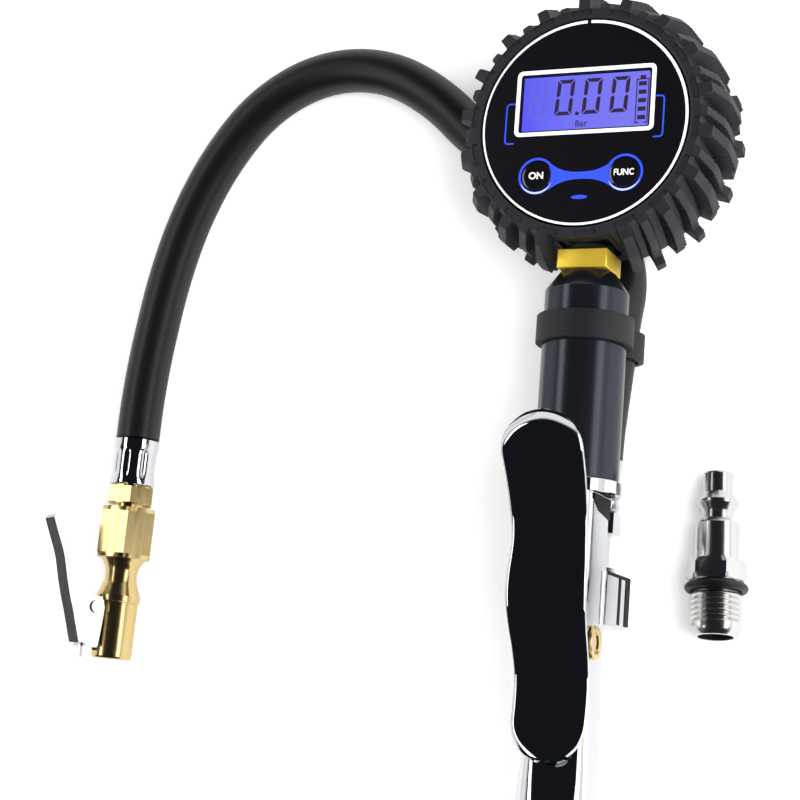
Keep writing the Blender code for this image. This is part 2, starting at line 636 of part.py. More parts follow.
def plug():
    """US-style male quick-connect plug with a 1/4 inch thread and sealing ring, lying on the table."""
    heading, tilt = math.radians(PLUG_HEADING), math.radians(PLUG_TILT)
    along = (math.cos(heading) * math.cos(tilt), math.sin(heading) * math.cos(tilt), math.sin(tilt))
    place = frame(PLUG_TIP, (1, 0, 0), along)
    thread = []
    for k in range(5):
        low = 32.4 + 1.9 * k
        thread += [(6.1, low), (6.8, low + 0.7), (6.8, low + 1.2)]
    profile = [
        (3.5, 0.0), (4.0, 0.5), (4.0, 5.5), (4.6, 6.5), (5.5, 7.8), (5.5, 8.6), (4.1, 10.4), (4.1, 12.6),
        (5.85, 13.9), (5.85, 23.2), (6.6, 23.4), (6.6, 29.1), (5.9, 29.3), (5.9, 32.2), *thread, (6.5, 42.1), (5.7, 43.4),
    ]
    made = turned("inlet_plug", profile, place, "nickel", 24)
    combine(made, hexagon("hex", 14.0, 23.6, 29.0, place, "nickel", 0.0, 1.2), "UNION")
    drill(made, 2.6, -1, 34, place, 16)
    drill(made, 4.6, 32, 45, place, 24)
    ring = [(6.3, 29.6), (7.6, 29.6), (8.2, 30.7), (7.6, 31.8), (6.3, 31.8)]
    ringed("plug_seal", ring, place, "rubber", 28)


def main():
    clear_scene()
    gauge_head()
    stem_and_tube()
    body()
    lever_and_valve()
    tool_end_fitting()
    route, heading = hose_route()
    wire("hose", route, HOSE_R, "rubber", 3)
    chuck(route[-1], heading)
    plug()


main()
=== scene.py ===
"""Looks of the digital tyre inflator: gauge in a tread boot, thumb lever, hose, clip-on chuck and loose plug.

Lengths are in millimetres in the row frame and turn into metres where a mesh is made.
"""

import math

import bmesh
import bpy
import numpy as np
from mathutils import Matrix, Vector


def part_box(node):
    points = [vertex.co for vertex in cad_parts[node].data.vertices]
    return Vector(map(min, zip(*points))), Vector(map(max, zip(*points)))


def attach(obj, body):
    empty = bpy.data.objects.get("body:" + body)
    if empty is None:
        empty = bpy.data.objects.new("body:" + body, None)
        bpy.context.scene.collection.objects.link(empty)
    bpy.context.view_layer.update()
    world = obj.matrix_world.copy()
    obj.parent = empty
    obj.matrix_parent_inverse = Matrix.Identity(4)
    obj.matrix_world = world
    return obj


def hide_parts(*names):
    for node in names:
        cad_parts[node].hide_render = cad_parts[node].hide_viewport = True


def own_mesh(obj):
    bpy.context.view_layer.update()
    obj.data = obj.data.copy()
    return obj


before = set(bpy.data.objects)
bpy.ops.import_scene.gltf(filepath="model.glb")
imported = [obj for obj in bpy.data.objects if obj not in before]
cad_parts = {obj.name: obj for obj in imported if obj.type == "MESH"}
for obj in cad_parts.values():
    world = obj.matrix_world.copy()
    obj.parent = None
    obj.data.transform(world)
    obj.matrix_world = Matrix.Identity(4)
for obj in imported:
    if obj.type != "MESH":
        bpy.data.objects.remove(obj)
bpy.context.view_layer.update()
MM = 0.001
AXIS_Z = 27.6
GAUGE_Y = 127.75


# ---------------------------------------------------------------- places

def place(origin, x_axis, z_axis):
    """Matrix from local to row millimetres, given where local X and Z point."""
    z = Vector(z_axis).normalized()
    x = Vector(x_axis)
    x = (x - z * x.dot(z)).normalized()
    turn = Matrix((x, z.cross(x), z)).transposed().to_4x4()
    return Matrix.Translation(origin) @ turn


ROW = Matrix.Identity(4)
TOOL = place((0, 0, AXIS_Z), (1, 0, 0), (0, 0, 1))
ALONG_TOOL = place((0, 0, AXIS_Z), (1, 0, 0), (0, 1, 0))
GAUGE = place((0, GAUGE_Y, AXIS_Z), (1, 0, 0), (0, 0, 1))
PIVOT_Y, PIVOT_Z = -6.0, 6.5
ACROSS = place((0, PIVOT_Y, AXIS_Z + PIVOT_Z), (0, 1, 0), (1, 0, 0))
VALVE = place((0, 12.0, AXIS_Z), (1, 0, 0), (0, 0, 1))


# ---------------------------------------------------------------- hose route

# Each step is (length, turn to the left in degrees).
HOSE_R = 6.4
HOSE_START_Y, HOSE_HEIGHT, CHUCK_AXIS = 44.3, 8.3, 7.75
HOSE_STEPS = [
    (10, -5), (32.99, 0), (20.04, 35.62), (20.04, 28.77), (20.04, 0.98), (
        20.04, -15.74,
    ), (20.04, 16.64), (20.04, 27.73),
    (
        20.04, 27.88,
    ), (20.04, 24.13), (20.04, 12.76), (20.04, 10.36), (20.04, 6.99), (20.04, 5.61), (20.04, 2.03),
]


def smooth(share):
    """Eased share: 3 s^2 - 2 s^3 between 0 and 1."""
    share = np.clip(share, 0.0, 1.0)
    return share * share * (3 - 2 * share)


def hose_route(per_step=20):
    """Centre line: headings change by the listed turns, heights blend from clip to table to chuck."""
    heading, x, y, run = math.radians(90.0), 0.0, HOSE_START_Y, 0.0
    rows = [(x, y, run)]
    for length, turn in HOSE_STEPS:
        bend, step = math.radians(turn) / per_step, length / per_step
        for _ in range(per_step):
            heading += bend / 2
            x, y, run = x + step * math.cos(heading), y + step * math.sin(heading), run + step
            heading += bend / 2
            rows.append((x, y, run))
    rows = np.array(rows)
    run, total = rows[:, 2], rows[-1, 2]
    height = HOSE_HEIGHT + (HOSE_R - HOSE_HEIGHT) * smooth((run - 35.0) / 16.0)
    height = height + (CHUCK_AXIS - HOSE_R) * smooth((run - (total - 40.0)) / 34.0)
    return np.column_stack([rows[:, :2], height]), heading


ROUTE, END_HEADING = hose_route()
ALONG = Vector((math.cos(END_HEADING), math.sin(END_HEADING), 0.0))
LEAN = Vector((math.cos(math.radians(130)), 0.0, math.sin(math.radians(130))))
CHUCK = place(Vector((ROUTE[-1][0], ROUTE[-1][1], CHUCK_AXIS)) + ALONG * 0.3, LEAN, ALONG)
CHUCK_PIVOT = CHUCK @ place((7.6, 0, 50.5), (0, 0, 1), (0, 1, 0))
PLUG_TURN, PLUG_TILT = math.radians(-86.7), math.radians(6.9)
PLUG = place(
    (31.6, 41.5, 4.5),
    (1, 0, 0),
    (
        math.cos(PLUG_TURN) * math.cos(PLUG_TILT), math.sin(PLUG_TURN) * math.cos(PLUG_TILT),
        math.sin(PLUG_TILT),
    ),
)


# ---------------------------------------------------------------- materials

def linear(code):
    """sRGB hex colour as linear RGBA."""
    parts = [int(code[i:i + 2], 16) / 255 for i in (0, 2, 4)]
    return (*[v / 12.92 if v <= 0.04045 else ((v + 0.055) / 1.055) ** 2.4 for v in parts], 1.0)


def add(tree, kind, inputs=None, **settings):
    """One node with its properties and input values set."""
    made = tree.nodes.new(kind)
    for key, value in settings.items():
        setattr(made, key, value)
    for key, value in (inputs or {}).items():
        made.inputs[key].default_value = value
    return made


def principled(
    name, colour, rough, metal=0.0, coat=0.0, bump=0.0, grain=900.0, vary=0.0, stretch=(1, 1, 1), **extra,
):
    """Principled surface: noise in roughness and colour, optional fine bump, in object coordinates."""
    made = bpy.data.materials.new(name)
    made.use_nodes = True
    tree = made.node_tree
    shader = tree.nodes["Principled BSDF"]
    shader.inputs["Base Color"].default_value = linear(colour)
    shader.inputs["Metallic"].default_value = metal
    shader.inputs["Roughness"].default_value = rough
    shader.inputs["Coat Weight"].default_value = coat
    shader.inputs["Coat Roughness"].default_value = 0.06
    for key, value in extra.items():
        shader.inputs[key.replace("_", " ")].default_value = value
    where = add(tree, "ShaderNodeTexCoord")
    scale = add(tree, "ShaderNodeMapping", {"Scale": stretch})
    noise = add(tree, "ShaderNodeTexNoise", {"Scale": grain, "Detail": 4.0, "Roughness": 0.6})
    tree.links.new(where.outputs["Object"], scale.inputs["Vector"])
    tree.links.new(scale.outputs["Vector"], noise.inputs["Vector"])
    rougher = add(tree, "ShaderNodeMapRange", {"To Min": rough * 0.85, "To Max": min(rough * 1.2, 1.0)})
    tree.links.new(noise.outputs["Fac"], rougher.inputs["Value"])
    tree.links.new(rougher.outputs["Result"], shader.inputs["Roughness"])
    if vary:
        wide = add(tree, "ShaderNodeTexNoise", {"Scale": grain / 9, "Detail": 3.0})
        tree.links.new(where.outputs["Object"], wide.inputs["Vector"])
        level = add(tree, "ShaderNodeMapRange", {"To Min": 1 - vary, "To Max": 1 + vary})
        tree.links.new(wide.outputs["Fac"], level.inputs["Value"])
        tint = add(tree, "ShaderNodeHueSaturation", {"Color": linear(colour)})
        tree.links.new(level.outputs["Result"], tint.inputs["Value"])
        tree.links.new(tint.outputs["Color"], shader.inputs["Base Color"])
    if bump:
        relief = add(tree, "ShaderNodeBump", {"Strength": bump, "Distance": 0.0002})
        tree.links.new(noise.outputs["Fac"], relief.inputs["Height"])
        tree.links.new(relief.outputs["Normal"], shader.inputs["Normal"])
    return made


def backlit():
    """Display backlight: blue violet, deeper towards the left edge and the top, with faint cloudiness."""
    made = bpy.data.materials.new("lcd_backlight")
    made.use_nodes = True
    tree = made.node_tree
    shader = tree.nodes["Principled BSDF"]
    where = add(tree, "ShaderNodeTexCoord")
    split = add(tree, "ShaderNodeSeparateXYZ")
    tree.links.new(where.outputs["Object"], split.inputs["Vector"])
    across = add(tree, "ShaderNodeMapRange", {"From Min": -0.019, "From Max": 0.010})
    tree.links.new(split.outputs["X"], across.inputs["Value"])
    ramp = add(tree, "ShaderNodeValToRGB")
    ramp.color_ramp.elements[0].color = linear("5A58F8")
    ramp.color_ramp.elements[1].color = linear("7F7EF2")
    middle = ramp.color_ramp.elements.new(0.45)
    middle.color = linear("7574F6")
    noise = add(tree, "ShaderNodeTexNoise", {"Scale": 260.0, "Detail": 3.0})
    tree.links.new(where.outputs["Object"], noise.inputs["Vector"])
    wobble = add(tree, "ShaderNodeMath", {1: 0.35}, operation="MULTIPLY_ADD")
    tree.links.new(noise.outputs["Fac"], wobble.inputs[0])
    tree.links.new(across.outputs["Result"], wobble.inputs[2])
    lower = add(tree, "ShaderNodeMath", {1: 0.17}, operation="SUBTRACT")
    tree.links.new(wobble.outputs[0], lower.inputs[0])
    tree.links.new(lower.outputs[0], ramp.inputs["Fac"])
    tree.links.new(ramp.outputs["Color"], shader.inputs["Emission Color"])
    shader.inputs["Emission Strength"].default_value = 0.9
    shader.inputs["Base Color"].default_value = linear("15154A")
    shader.inputs["Roughness"].default_value = 0.25
    return made


# Grain is noise cells per metre, so 1500 is a cell each 0.7 mm and 300 a cell each 3.3 mm. It is
# coarser than the real texture, so that it shows. Moulded rubber is matt and slightly mottled.
RUBBER = principled("boot_rubber", "1E2025", 0.56, bump=0.3, grain=1500, vary=0.12)
SMOOTH_RUBBER = principled("clip_rubber", "17191C", 0.58, bump=0.25, grain=1200, vary=0.1)
HOSE_RUBBER = principled("hose_rubber", "0C0C0E", 0.4, bump=0.06, grain=1800)
# Moulded ABS and a glossy printed panel; the coat gives the clear lacquer over the buttons and print.
BLACK_PLASTIC = principled("black_plastic", "141417", 0.4, bump=0.1)
FACE = principled("face_gloss", "0C0C10", 0.25, coat=0.3)
DOME = principled("button_gloss", "0E0E12", 0.14, coat=1.0)
WHITE = principled("print_white", "F6F6F4", 0.4)
BLUE = principled("print_blue", "3350E8", 0.3, coat=0.6)
# Pale crescents on the button rings: painted highlight.
PAINTED_GLINT = principled("painted_glint_pale_blue", "C9D0FA", 0.25, coat=0.6)
# Display segments: dark ones block the backlight, faint ones let some of it through.
INK = principled("lcd_ink", "2A1838", 0.5)
GHOST = principled("lcd_ghost", "201C60", 0.5, Emission_Color=linear("6765E4"), Emission_Strength=0.8)
FAINT = principled("lcd_grey_ink", "2A2050", 0.5, Emission_Color=linear("3A2F78"), Emission_Strength=0.5)
BACKLIGHT = backlit()
BOARD = principled("solder_resist", "14532D", 0.35)
CELL = principled("cell_sleeve", "2A2A6A", 0.3)
# Metals: turned brass has a soft highlight, anodised aluminium a dark long one, and polished chrome a mirror.
BRASS = principled("turned_brass", "E2C88C", 0.2, metal=1.0, grain=500, vary=0.05)
YELLOW_BRASS = principled("bright_brass", "FFD84C", 0.36, metal=0.6, grain=700, vary=0.08)
ANODISED = principled("black_anodised", "3A3D44", 0.22, metal=0.85, grain=600, stretch=(6, 0.6, 6))
CHROME = principled("polished_chrome", "DEE0E3", 0.045, metal=1.0, grain=300)
NICKEL = principled("nickel_plate", "DAD8D6", 0.2, metal=1.0, grain=800)
# A dark plate on the clip lever's face: painted reflection of dark surroundings on the chrome.
PAINTED_REFLECTION = principled("painted_dark_reflection", "16120E", 0.45, grain=300, Specular_IOR_Level=0.12)
ZINC = principled("zinc_plate", "B2B4B8", 0.16, metal=1.0, grain=300)
STEEL = principled("bright_steel", "C4C5C8", 0.25, metal=1.0, grain=800)
# Black: the plain colour of hidden parts, and painted shade in the plug's bore, under the collar and along the
# boss.
DARK = principled("bore_shadow", "0A0A0B", 0.7)


# ---------------------------------------------------------------- mesh helpers

def piece(
    name, points, faces, where, material, body, stands_for=(), slot=None, sharp=32.0, bevel=0.0, turns=2,
):
    """Closed smooth-shaded mesh from local millimetres that rides on a body."""
    mesh = bpy.data.meshes.new(name)
    matrix = np.array(where)
    points = np.asarray(points, float) @ matrix[:3, :3].T + matrix[:3, 3]
    mesh.from_pydata((points * MM).tolist(), [], [tuple(f) for f in faces])
    return finish_piece(name, mesh, material, body, stands_for, sharp, bevel, turns)


def finish_piece(name, mesh, material, body, stands_for=(), sharp=32.0, bevel=0.0, turns=2):
    """Turns the faces outwards, shades them smooth up to the sharp angle, and ties the object to its body."""
    bm = bmesh.new()
    bm.from_mesh(mesh)
    bmesh.ops.recalc_face_normals(bm, faces=bm.faces)
    bm.to_mesh(mesh)
    bm.free()
    mesh.polygons.foreach_set("use_smooth", [True] * len(mesh.polygons))
    mesh.set_sharp_from_angle(angle=math.radians(sharp))
    obj = bpy.data.objects.new(name, mesh)
    bpy.context.scene.collection.objects.link(obj)
    mesh.materials.append(material)
    if bevel:
        edge = obj.modifiers.new("Edges", "BEVEL")
        edge.width, edge.segments, edge.limit_method = bevel * MM, turns, "ANGLE"
        edge.angle_limit = math.radians(28)
    if body:
        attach(obj, body)
    if stands_for:
        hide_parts(*([stands_for] if isinstance(stands_for, str) else stands_for))
    return obj


def grid_faces(rings, count, looped=False, capped=True):
    """Quads between rings of equal count, with caps unless the rings loop."""
    rows = np.arange(rings if looped else rings - 1)
    cols = np.arange(count)
    a = rows[:, None] * count + cols
    b = rows[:, None] * count + (cols + 1) % count
    up = ((rows + 1) % rings)[:, None] * count
    faces = np.stack([a, b, up + (cols + 1) % count, up + cols], -1).reshape(-1, 4).tolist()
    if capped and not looped:
        faces += [list(range(count)), [(rings - 1) * count + k for k in range(count)]]
    return faces


def turned(
    name, profile, where, material, body, stands_for=(), slot=None, steps=96, looped=False, start=0.0,
    x=0.0, y=0.0, **more,
):
    """Surface of revolution of (radius, height) rows: point = (r cos t + x, r sin t + y, h)."""
    profile = np.array(profile, float)
    t = start + math.tau * np.arange(steps) / steps
    r, h = profile[:, :1], profile[:, 1:]
    rows = np.stack([r * np.cos(t) + x, r * np.sin(t) + y, h + 0 * t], -1).reshape(-1, 3)
    return piece(
        name, rows, grid_faces(len(profile), steps, looped), where, material, body, stands_for, slot,
        **more,
    )


def prism(name, outline, low, high, where, material, body, stands_for=(), slot=None, **more):
    """Outline of local (x, y) points extruded from low to high."""
    outline = np.array(outline, float)
    rows = np.concatenate([np.column_stack([outline, np.full(len(outline), z)]) for z in (low, high)])
    return piece(name, rows, grid_faces(2, len(outline)), where, material, body, stands_for, slot, **more)


def cut(target, other, operation="DIFFERENCE", sharp=22):
    """Applies a Boolean of other to target and removes other."""
    modifier = target.modifiers.new("Cut", "BOOLEAN")
    modifier.operation, modifier.solver, modifier.object = operation, "EXACT", other
    bpy.context.view_layer.update()
    graph = bpy.context.evaluated_depsgraph_get()
    mesh = bpy.data.meshes.new_from_object(target.evaluated_get(graph))
    target.modifiers.clear()
    target.data = mesh
    mesh.set_sharp_from_angle(angle=math.radians(sharp))
    bpy.data.objects.remove(other, do_unlink=True)
    return target


def arc_points(cx, cy, radius, start, end, count):
    """Arc in degrees: point = centre + radius (cos t, sin t)."""
    t = np.radians(np.linspace(start, end, count))
    return np.column_stack([cx + radius * np.cos(t), cy + radius * np.sin(t)])


def rounded_rectangle(x0, y0, x1, y1, radius, count=6):
    """Rectangle with a quarter arc at each corner."""
    corners = ((x1, y1, 0), (x0, y1, 90), (x0, y0, 180), (x1, y0, 270))
    rows = []
    for cx, cy, start in corners:
        px = cx - radius if cx == x1 else cx + radius
        py = cy - radius if cy == y1 else cy + radius
        rows.append(arc_points(px, py, radius, start, start + 90, count))
    return np.concatenate(rows)


def band(name, outer, inner, low, high, where, material, body):
    """Flat frame between two outlines of equal count."""
    corners = ((inner, low), (outer, low), (outer, high), (inner, high))
    rows = [np.column_stack([o, np.full(len(o), z)]) for o, z in corners]
    return piece(name, np.concatenate(rows), grid_faces(4, len(outer), looped=True), where, material, body)


def strip(name, centre, width, low, high, where, material, body):
    """Flat ribbon of constant width along an open centre line."""
    centre = np.array(centre, float)
    run = np.gradient(centre, axis=0)
    side = np.column_stack([-run[:, 1], run[:, 0]]) / np.linalg.norm(run, axis=1)[:, None] * width / 2
    outline = np.concatenate([centre + side, (centre - side)[::-1]])
    return prism(name, outline, low, high, where, material, body)


def words(name, text, height, centre, level, where, material, body, thick=0.03, weight=0.0, wide=1.0):
    """Raised letters of the built-in font, centred on a local point."""
    data = bpy.data.curves.new(name, "FONT")
    data.body, data.align_x, data.align_y = text, "CENTER", "CENTER"
    data.offset = weight
    data.extrude = 0.5
    obj = bpy.data.objects.new(name, data)
    bpy.context.scene.collection.objects.link(obj)
    bpy.context.view_layer.update()
    mesh = bpy.data.meshes.new_from_object(obj.evaluated_get(bpy.context.evaluated_depsgraph_get()))
    bpy.data.objects.remove(obj, do_unlink=True)
    co = np.zeros(len(mesh.vertices) * 3)
    mesh.vertices.foreach_get("co", co)
    co = co.reshape(-1, 3)
    size = height / (co[:, 1].max() - co[:, 1].min())
    middle = (co.max(0) + co.min(0)) / 2
    co = (co - middle) * (size * wide, size, thick)
    co += (centre[0], centre[1], level)
    matrix = np.array(where)
    co = (co @ matrix[:3, :3].T + matrix[:3, 3]) * MM
    mesh.vertices.foreach_set("co", co.ravel())
    mesh.materials.clear()
    made = bpy.data.objects.new(name, mesh)
    bpy.context.scene.collection.objects.link(made)
    mesh.materials.append(material)
    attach(made, body)
    return made


def tube_along(name, centre, radius, material, sides=40):
    """Tube mesh about a centre line, closed at both ends."""
    centre = np.asarray(centre, float)
    run = np.gradient(centre, axis=0)
    run /= np.linalg.norm(run, axis=1)[:, None]
    side = np.cross(run, (0.0, 0.0, 1.0))
    side /= np.linalg.norm(side, axis=1)[:, None]
    up = np.cross(side, run)
    t = math.tau * np.arange(sides) / sides
    rows = centre[:, None] + radius * (
        np.cos(t)[None, :, None] * side[:, None] + np.sin(t)[None, :, None] * up[:, None]
    )
    return piece(name, rows.reshape(-1, 3), grid_faces(len(centre), sides), ROW, material, "tool")


# ---------------------------------------------------------------- camera and stage

def camera():
    """Camera from in front and to the right, with its axes squared up before use."""
    data = bpy.data.cameras.new("camera")
    data.lens, data.sensor_width = 82.8, 36.0
    data.clip_start, data.clip_end = 0.02, 20.0
    made = bpy.data.objects.new("camera", data)
    bpy.context.scene.collection.objects.link(made)
    right, up = Vector((0.9208, 0.0777, -0.3823)).normalized(), Vector((-0.0049, 0.9822, 0.1877)).normalized()
    back = right.cross(up).normalized()
    up = back.cross(right)
    made.matrix_world = Matrix.Translation(
        (0.14292, -0.02858, 0.47707)
    ) @ Matrix((right, up, back)).transposed().to_4x4()
    bpy.context.scene.camera = made


def light(name, spot, target, size, power):
    """White rectangular lamp at a spot, aimed at a target, in metres and watts."""
    data = bpy.data.lights.new(name, "AREA")
    data.shape, data.size, data.size_y = "RECTANGLE", size[0], size[1]
    data.energy = power
    made = bpy.data.objects.new(name, data)
    bpy.context.scene.collection.objects.link(made)
    made.location = spot
    made.rotation_mode = "QUATERNION"
    made.rotation_quaternion = (Vector(target) - Vector(spot)).to_track_quat("-Z", "Y")
    return made


def stage():
    """Pale floor that goes to white for the camera and keeps the shadow, an even world and soft lights."""
    scene = bpy.context.scene
    scene.view_settings.view_transform = "Standard"
    world = bpy.data.worlds.new("world")
    scene.world = world
    world.use_nodes = True
    tree = world.node_tree
    tree.nodes.clear()
    rays = add(tree, "ShaderNodeLightPath")
    plain = add(tree, "ShaderNodeBackground", {"Color": (1, 1, 1, 1), "Strength": 0.42})
    white = add(tree, "ShaderNodeBackground", {"Color": (1, 1, 1, 1), "Strength": 1.0})
    room = add(tree, "ShaderNodeBackground", {"Strength": 1.0})
    mix = add(tree, "ShaderNodeMixShader")
    shiny = add(tree, "ShaderNodeMixShader")
    out = add(tree, "ShaderNodeOutputWorld")
    # Shiny pieces see white walls left and right, and a dark ceiling that comes down to the front:
    # darkness = height + 0.9 x frontness + 0.12 x backness.
    where = add(tree, "ShaderNodeTexCoord")
    split = add(tree, "ShaderNodeSeparateXYZ")
    ceiling = add(tree, "ShaderNodeValToRGB")
    ceiling.color_ramp.elements[0].position, ceiling.color_ramp.elements[0].color = 0.40, (1, 1, 1, 1)
    ceiling.color_ramp.elements[1].position, ceiling.color_ramp.elements[1].color = 0.60, (
        0.008, 0.009, 0.013, 1,
    )
    tree.links.new(where.outputs["Generated"], split.inputs["Vector"])
    front = add(tree, "ShaderNodeMath", {1: 0.0}, operation="MINIMUM")
    behind = add(tree, "ShaderNodeMath", {1: 0.0}, operation="MAXIMUM")
    with_front = add(tree, "ShaderNodeMath", {1: -0.9}, operation="MULTIPLY_ADD")
    with_both = add(tree, "ShaderNodeMath", {1: 0.12}, operation="MULTIPLY_ADD")
    for side in (front, behind):
        tree.links.new(split.outputs["Y"], side.inputs[0])
    tree.links.new(front.outputs[0], with_front.inputs[0])
    tree.links.new(split.outputs["Z"], with_front.inputs[2])
    tree.links.new(behind.outputs[0], with_both.inputs[0])
    tree.links.new(with_front.outputs[0], with_both.inputs[2])
    tree.links.new(with_both.outputs[0], ceiling.inputs["Fac"])
    tree.links.new(ceiling.outputs["Color"], room.inputs["Color"])
    tree.links.new(rays.outputs["Is Glossy Ray"], shiny.inputs["Fac"])
    tree.links.new(plain.outputs[0], shiny.inputs[1])
    tree.links.new(room.outputs[0], shiny.inputs[2])
    tree.links.new(rays.outputs["Is Camera Ray"], mix.inputs["Fac"])
    tree.links.new(shiny.outputs[0], mix.inputs[1])
    tree.links.new(white.outputs[0], mix.inputs[2])
    tree.links.new(mix.outputs[0], out.inputs["Surface"])

    paper = bpy.data.materials.new("paper")
    paper.use_nodes = True
    tree = paper.node_tree
    tree.nodes.clear()
    rays = add(tree, "ShaderNodeLightPath")
    lit = add(tree, "ShaderNodeBsdfDiffuse", {"Color": (0.86, 0.86, 0.86, 1)})
    glow = add(tree, "ShaderNodeEmission", {"Color": (1, 1, 1, 1)})
    seen = add(tree, "ShaderNodeMath", {1: 0.34}, operation="MULTIPLY")
    both = add(tree, "ShaderNodeAddShader")
    out = add(tree, "ShaderNodeOutputMaterial")
    tree.links.new(rays.outputs["Is Camera Ray"], seen.inputs[0])
    tree.links.new(seen.outputs[0], glow.inputs["Strength"])
    tree.links.new(lit.outputs[0], both.inputs[0])
    tree.links.new(glow.outputs[0], both.inputs[1])
    tree.links.new(both.outputs[0], out.inputs["Surface"])
    mesh = bpy.data.meshes.new("floor")
    mesh.from_pydata([(-4, -4, 0), (4, -4, 0), (4, 4, 0), (-4, 4, 0)], [], [(0, 1, 2, 3)])
    mesh.materials.append(paper)
    floor = bpy.data.objects.new("floor", mesh)
    bpy.context.scene.collection.objects.link(floor)
    floor.location.z = -0.0004
    light("key", (0.55, -0.05, 0.75), (0, 0.05, 0), (0.5, 0.5), 9.0).visible_glossy = False
    light("left_fill", (-0.55, 0.05, 0.62), (-0.02, 0.05, 0), (0.9, 0.2), 1.6)
    light("right_strip", (0.78, 0.05, 0.42), (0.0, 0.05, 0.03), (0.9, 0.3), 1.6)
    light("front_fill", (0.0, -1.0, 0.5), (0, 0.05, 0), (1.0, 0.3), 3.5).visible_glossy = False


# ---------------------------------------------------------------- gauge

def boot():
    """Tyre-like boot. The side is a height field over angle and depth: blocks between slanted grooves.

    reach = base(depth) + lug(angle, depth), with a front row of knobs alternately tall and short, a run of
    slanted blocks behind them, and a narrow groove between the rows.
    """
    turns, rows = 36 * 18, 40
    t = math.tau * np.arange(turns) / turns
    depth = np.linspace(0.0, 1.0, rows)
    z = 12.9 - 27.6 * depth
    base = np.interp(depth, [0, 0.04, 0.4, 0.9, 1.0], [30.9, 31.3, 32.4, 32.4, 30.6])
    angle, d = np.meshgrid(t, depth)
    count = angle / math.tau * 36 + 0.75 * np.clip(d - 0.05, 0, 1)
    phase, index = np.mod(count, 1.0), np.floor(count).astype(int) % 2
    wide = np.where(index == 1, 0.62, 0.55)
    block = np.clip((phase - 0.01) / 0.06, 0, 1) * np.clip((wide - phase) / 0.06, 0, 1)
    front = np.where(index == 1, 3.2, 1.5)
    crown = np.where(index == 1, 4.9, 3.3)
    heel = np.where(index == 1, 3.4, 4.9)
    lug = np.where(
        d < 0.3, front + (crown - front) * np.clip((d - 0.05) / 0.25, 0, 1),
        crown + (heel - crown) * np.clip((d - 0.72) / 0.05, 0, 1),
    )
    ends = np.clip(d / 0.02, 0, 1) * np.clip((0.95 - d) / 0.03, 0, 1)
    stem_side = np.abs(np.mod(angle + math.pi / 2 + math.pi, math.tau) - math.pi)
    clear = np.clip((stem_side - 0.255) / 0.03, 0, 1)
    reach = base[:, None] * (1 - (1 - clear) * 0.03 * np.clip(d / 0.1, 0, 1)) + block * ends * lug * clear
    outer = np.stack([reach * np.cos(angle), reach * np.sin(angle), z[:, None] + 0 * angle], -1)

    # Front annulus: rings from the lip out to the knobs, with shallow radial steps at every second knob.
    flat = []
    raised = np.where(np.mod(t / math.tau * 36, 2.0) < 1.0, 0.0, 0.3)
    groove = np.where(np.mod(t / math.tau * 36, 1.0) > 0.93, 0.45, 0.0)
    for radius, drop, share in (
        (28.25, 1.2, 0), (28.4, 0.25, 0), (28.9, 0.0, 0), (29.4, 0.0, 0), (29.5, 0.0, 1), (30.8, 0.1, 1),
    ):
        height = 12.9 - drop - share * np.maximum(raised, groove)
        flat.append(np.stack([radius * np.cos(t), radius * np.sin(t), height], -1))
    back_rings = [
        np.stack([r * np.cos(t), r * np.sin(t), 0 * t + h], -1)
        for r, h in (
            (24.2, -14.7), (24.0, -14.4), (24.0, -13.3), (28.2, -13.3),
            (30.6, -12.0), (30.6, 11.3), (28.25, 11.3),
        )
    ]
    rings = [*flat, *outer, *back_rings]
    made = piece(
        "visual_boot", np.concatenate(rings), grid_faces(len(rings), turns, looped=True), GAUGE, RUBBER,
        "tool", "gauge_boot", "boot_rubber", sharp=24,
    )
    hole = prism(
        "hole", rounded_rectangle(-7.1, -7.1, 7.1, 7.1, 0.5), -44, -26,
        place((0, GAUGE_Y, AXIS_Z), (1, 0, 0), (0, 1, 0)), DARK, None,
    )
    cut(made, hole)


SEGMENTS = {
    "top": [(-0.88, 1.0), (0.88, 1.0), (0.50, 0.79), (-0.50, 0.79)],
    "upper_right": [(1.0, 0.96), (1.0, 0.12), (0.78, 0.03), (0.56, 0.14), (0.56, 0.74)],
    "lower_right": [(1.0, -0.96), (0.56, -0.74), (0.56, -0.14), (0.78, -0.03), (1.0, -0.12)],
    "bottom": [(-0.88, -1.0), (-0.50, -0.79), (0.50, -0.79), (0.88, -1.0)],
    "lower_left": [(-1.0, -0.96), (-1.0, -0.12), (-0.78, -0.03), (-0.56, -0.14), (-0.56, -0.74)],
    "upper_left": [(-1.0, 0.96), (-0.56, 0.74), (-0.56, 0.14), (-0.78, 0.03), (-1.0, 0.12)],
    "middle": [(-0.66, 0.0), (-0.48, 0.11), (0.48, 0.11), (0.66, 0.0), (0.48, -0.11), (-0.48, -0.11)],
}


def digit(name, x, y, names, material, level):
    """Slanted seven-segment figure 5.2 mm wide and 9.7 mm tall."""
    for part in names:
        outline = np.array(SEGMENTS[part], float)
        py = outline[:, 1] * 4.85
        px = outline[:, 0] * 2.35 + py * 0.07
        prism(
            f"{name}_{part}", np.column_stack([x + px, y + py]), level, level + 0.02, GAUGE, material,
            "tool",
        )


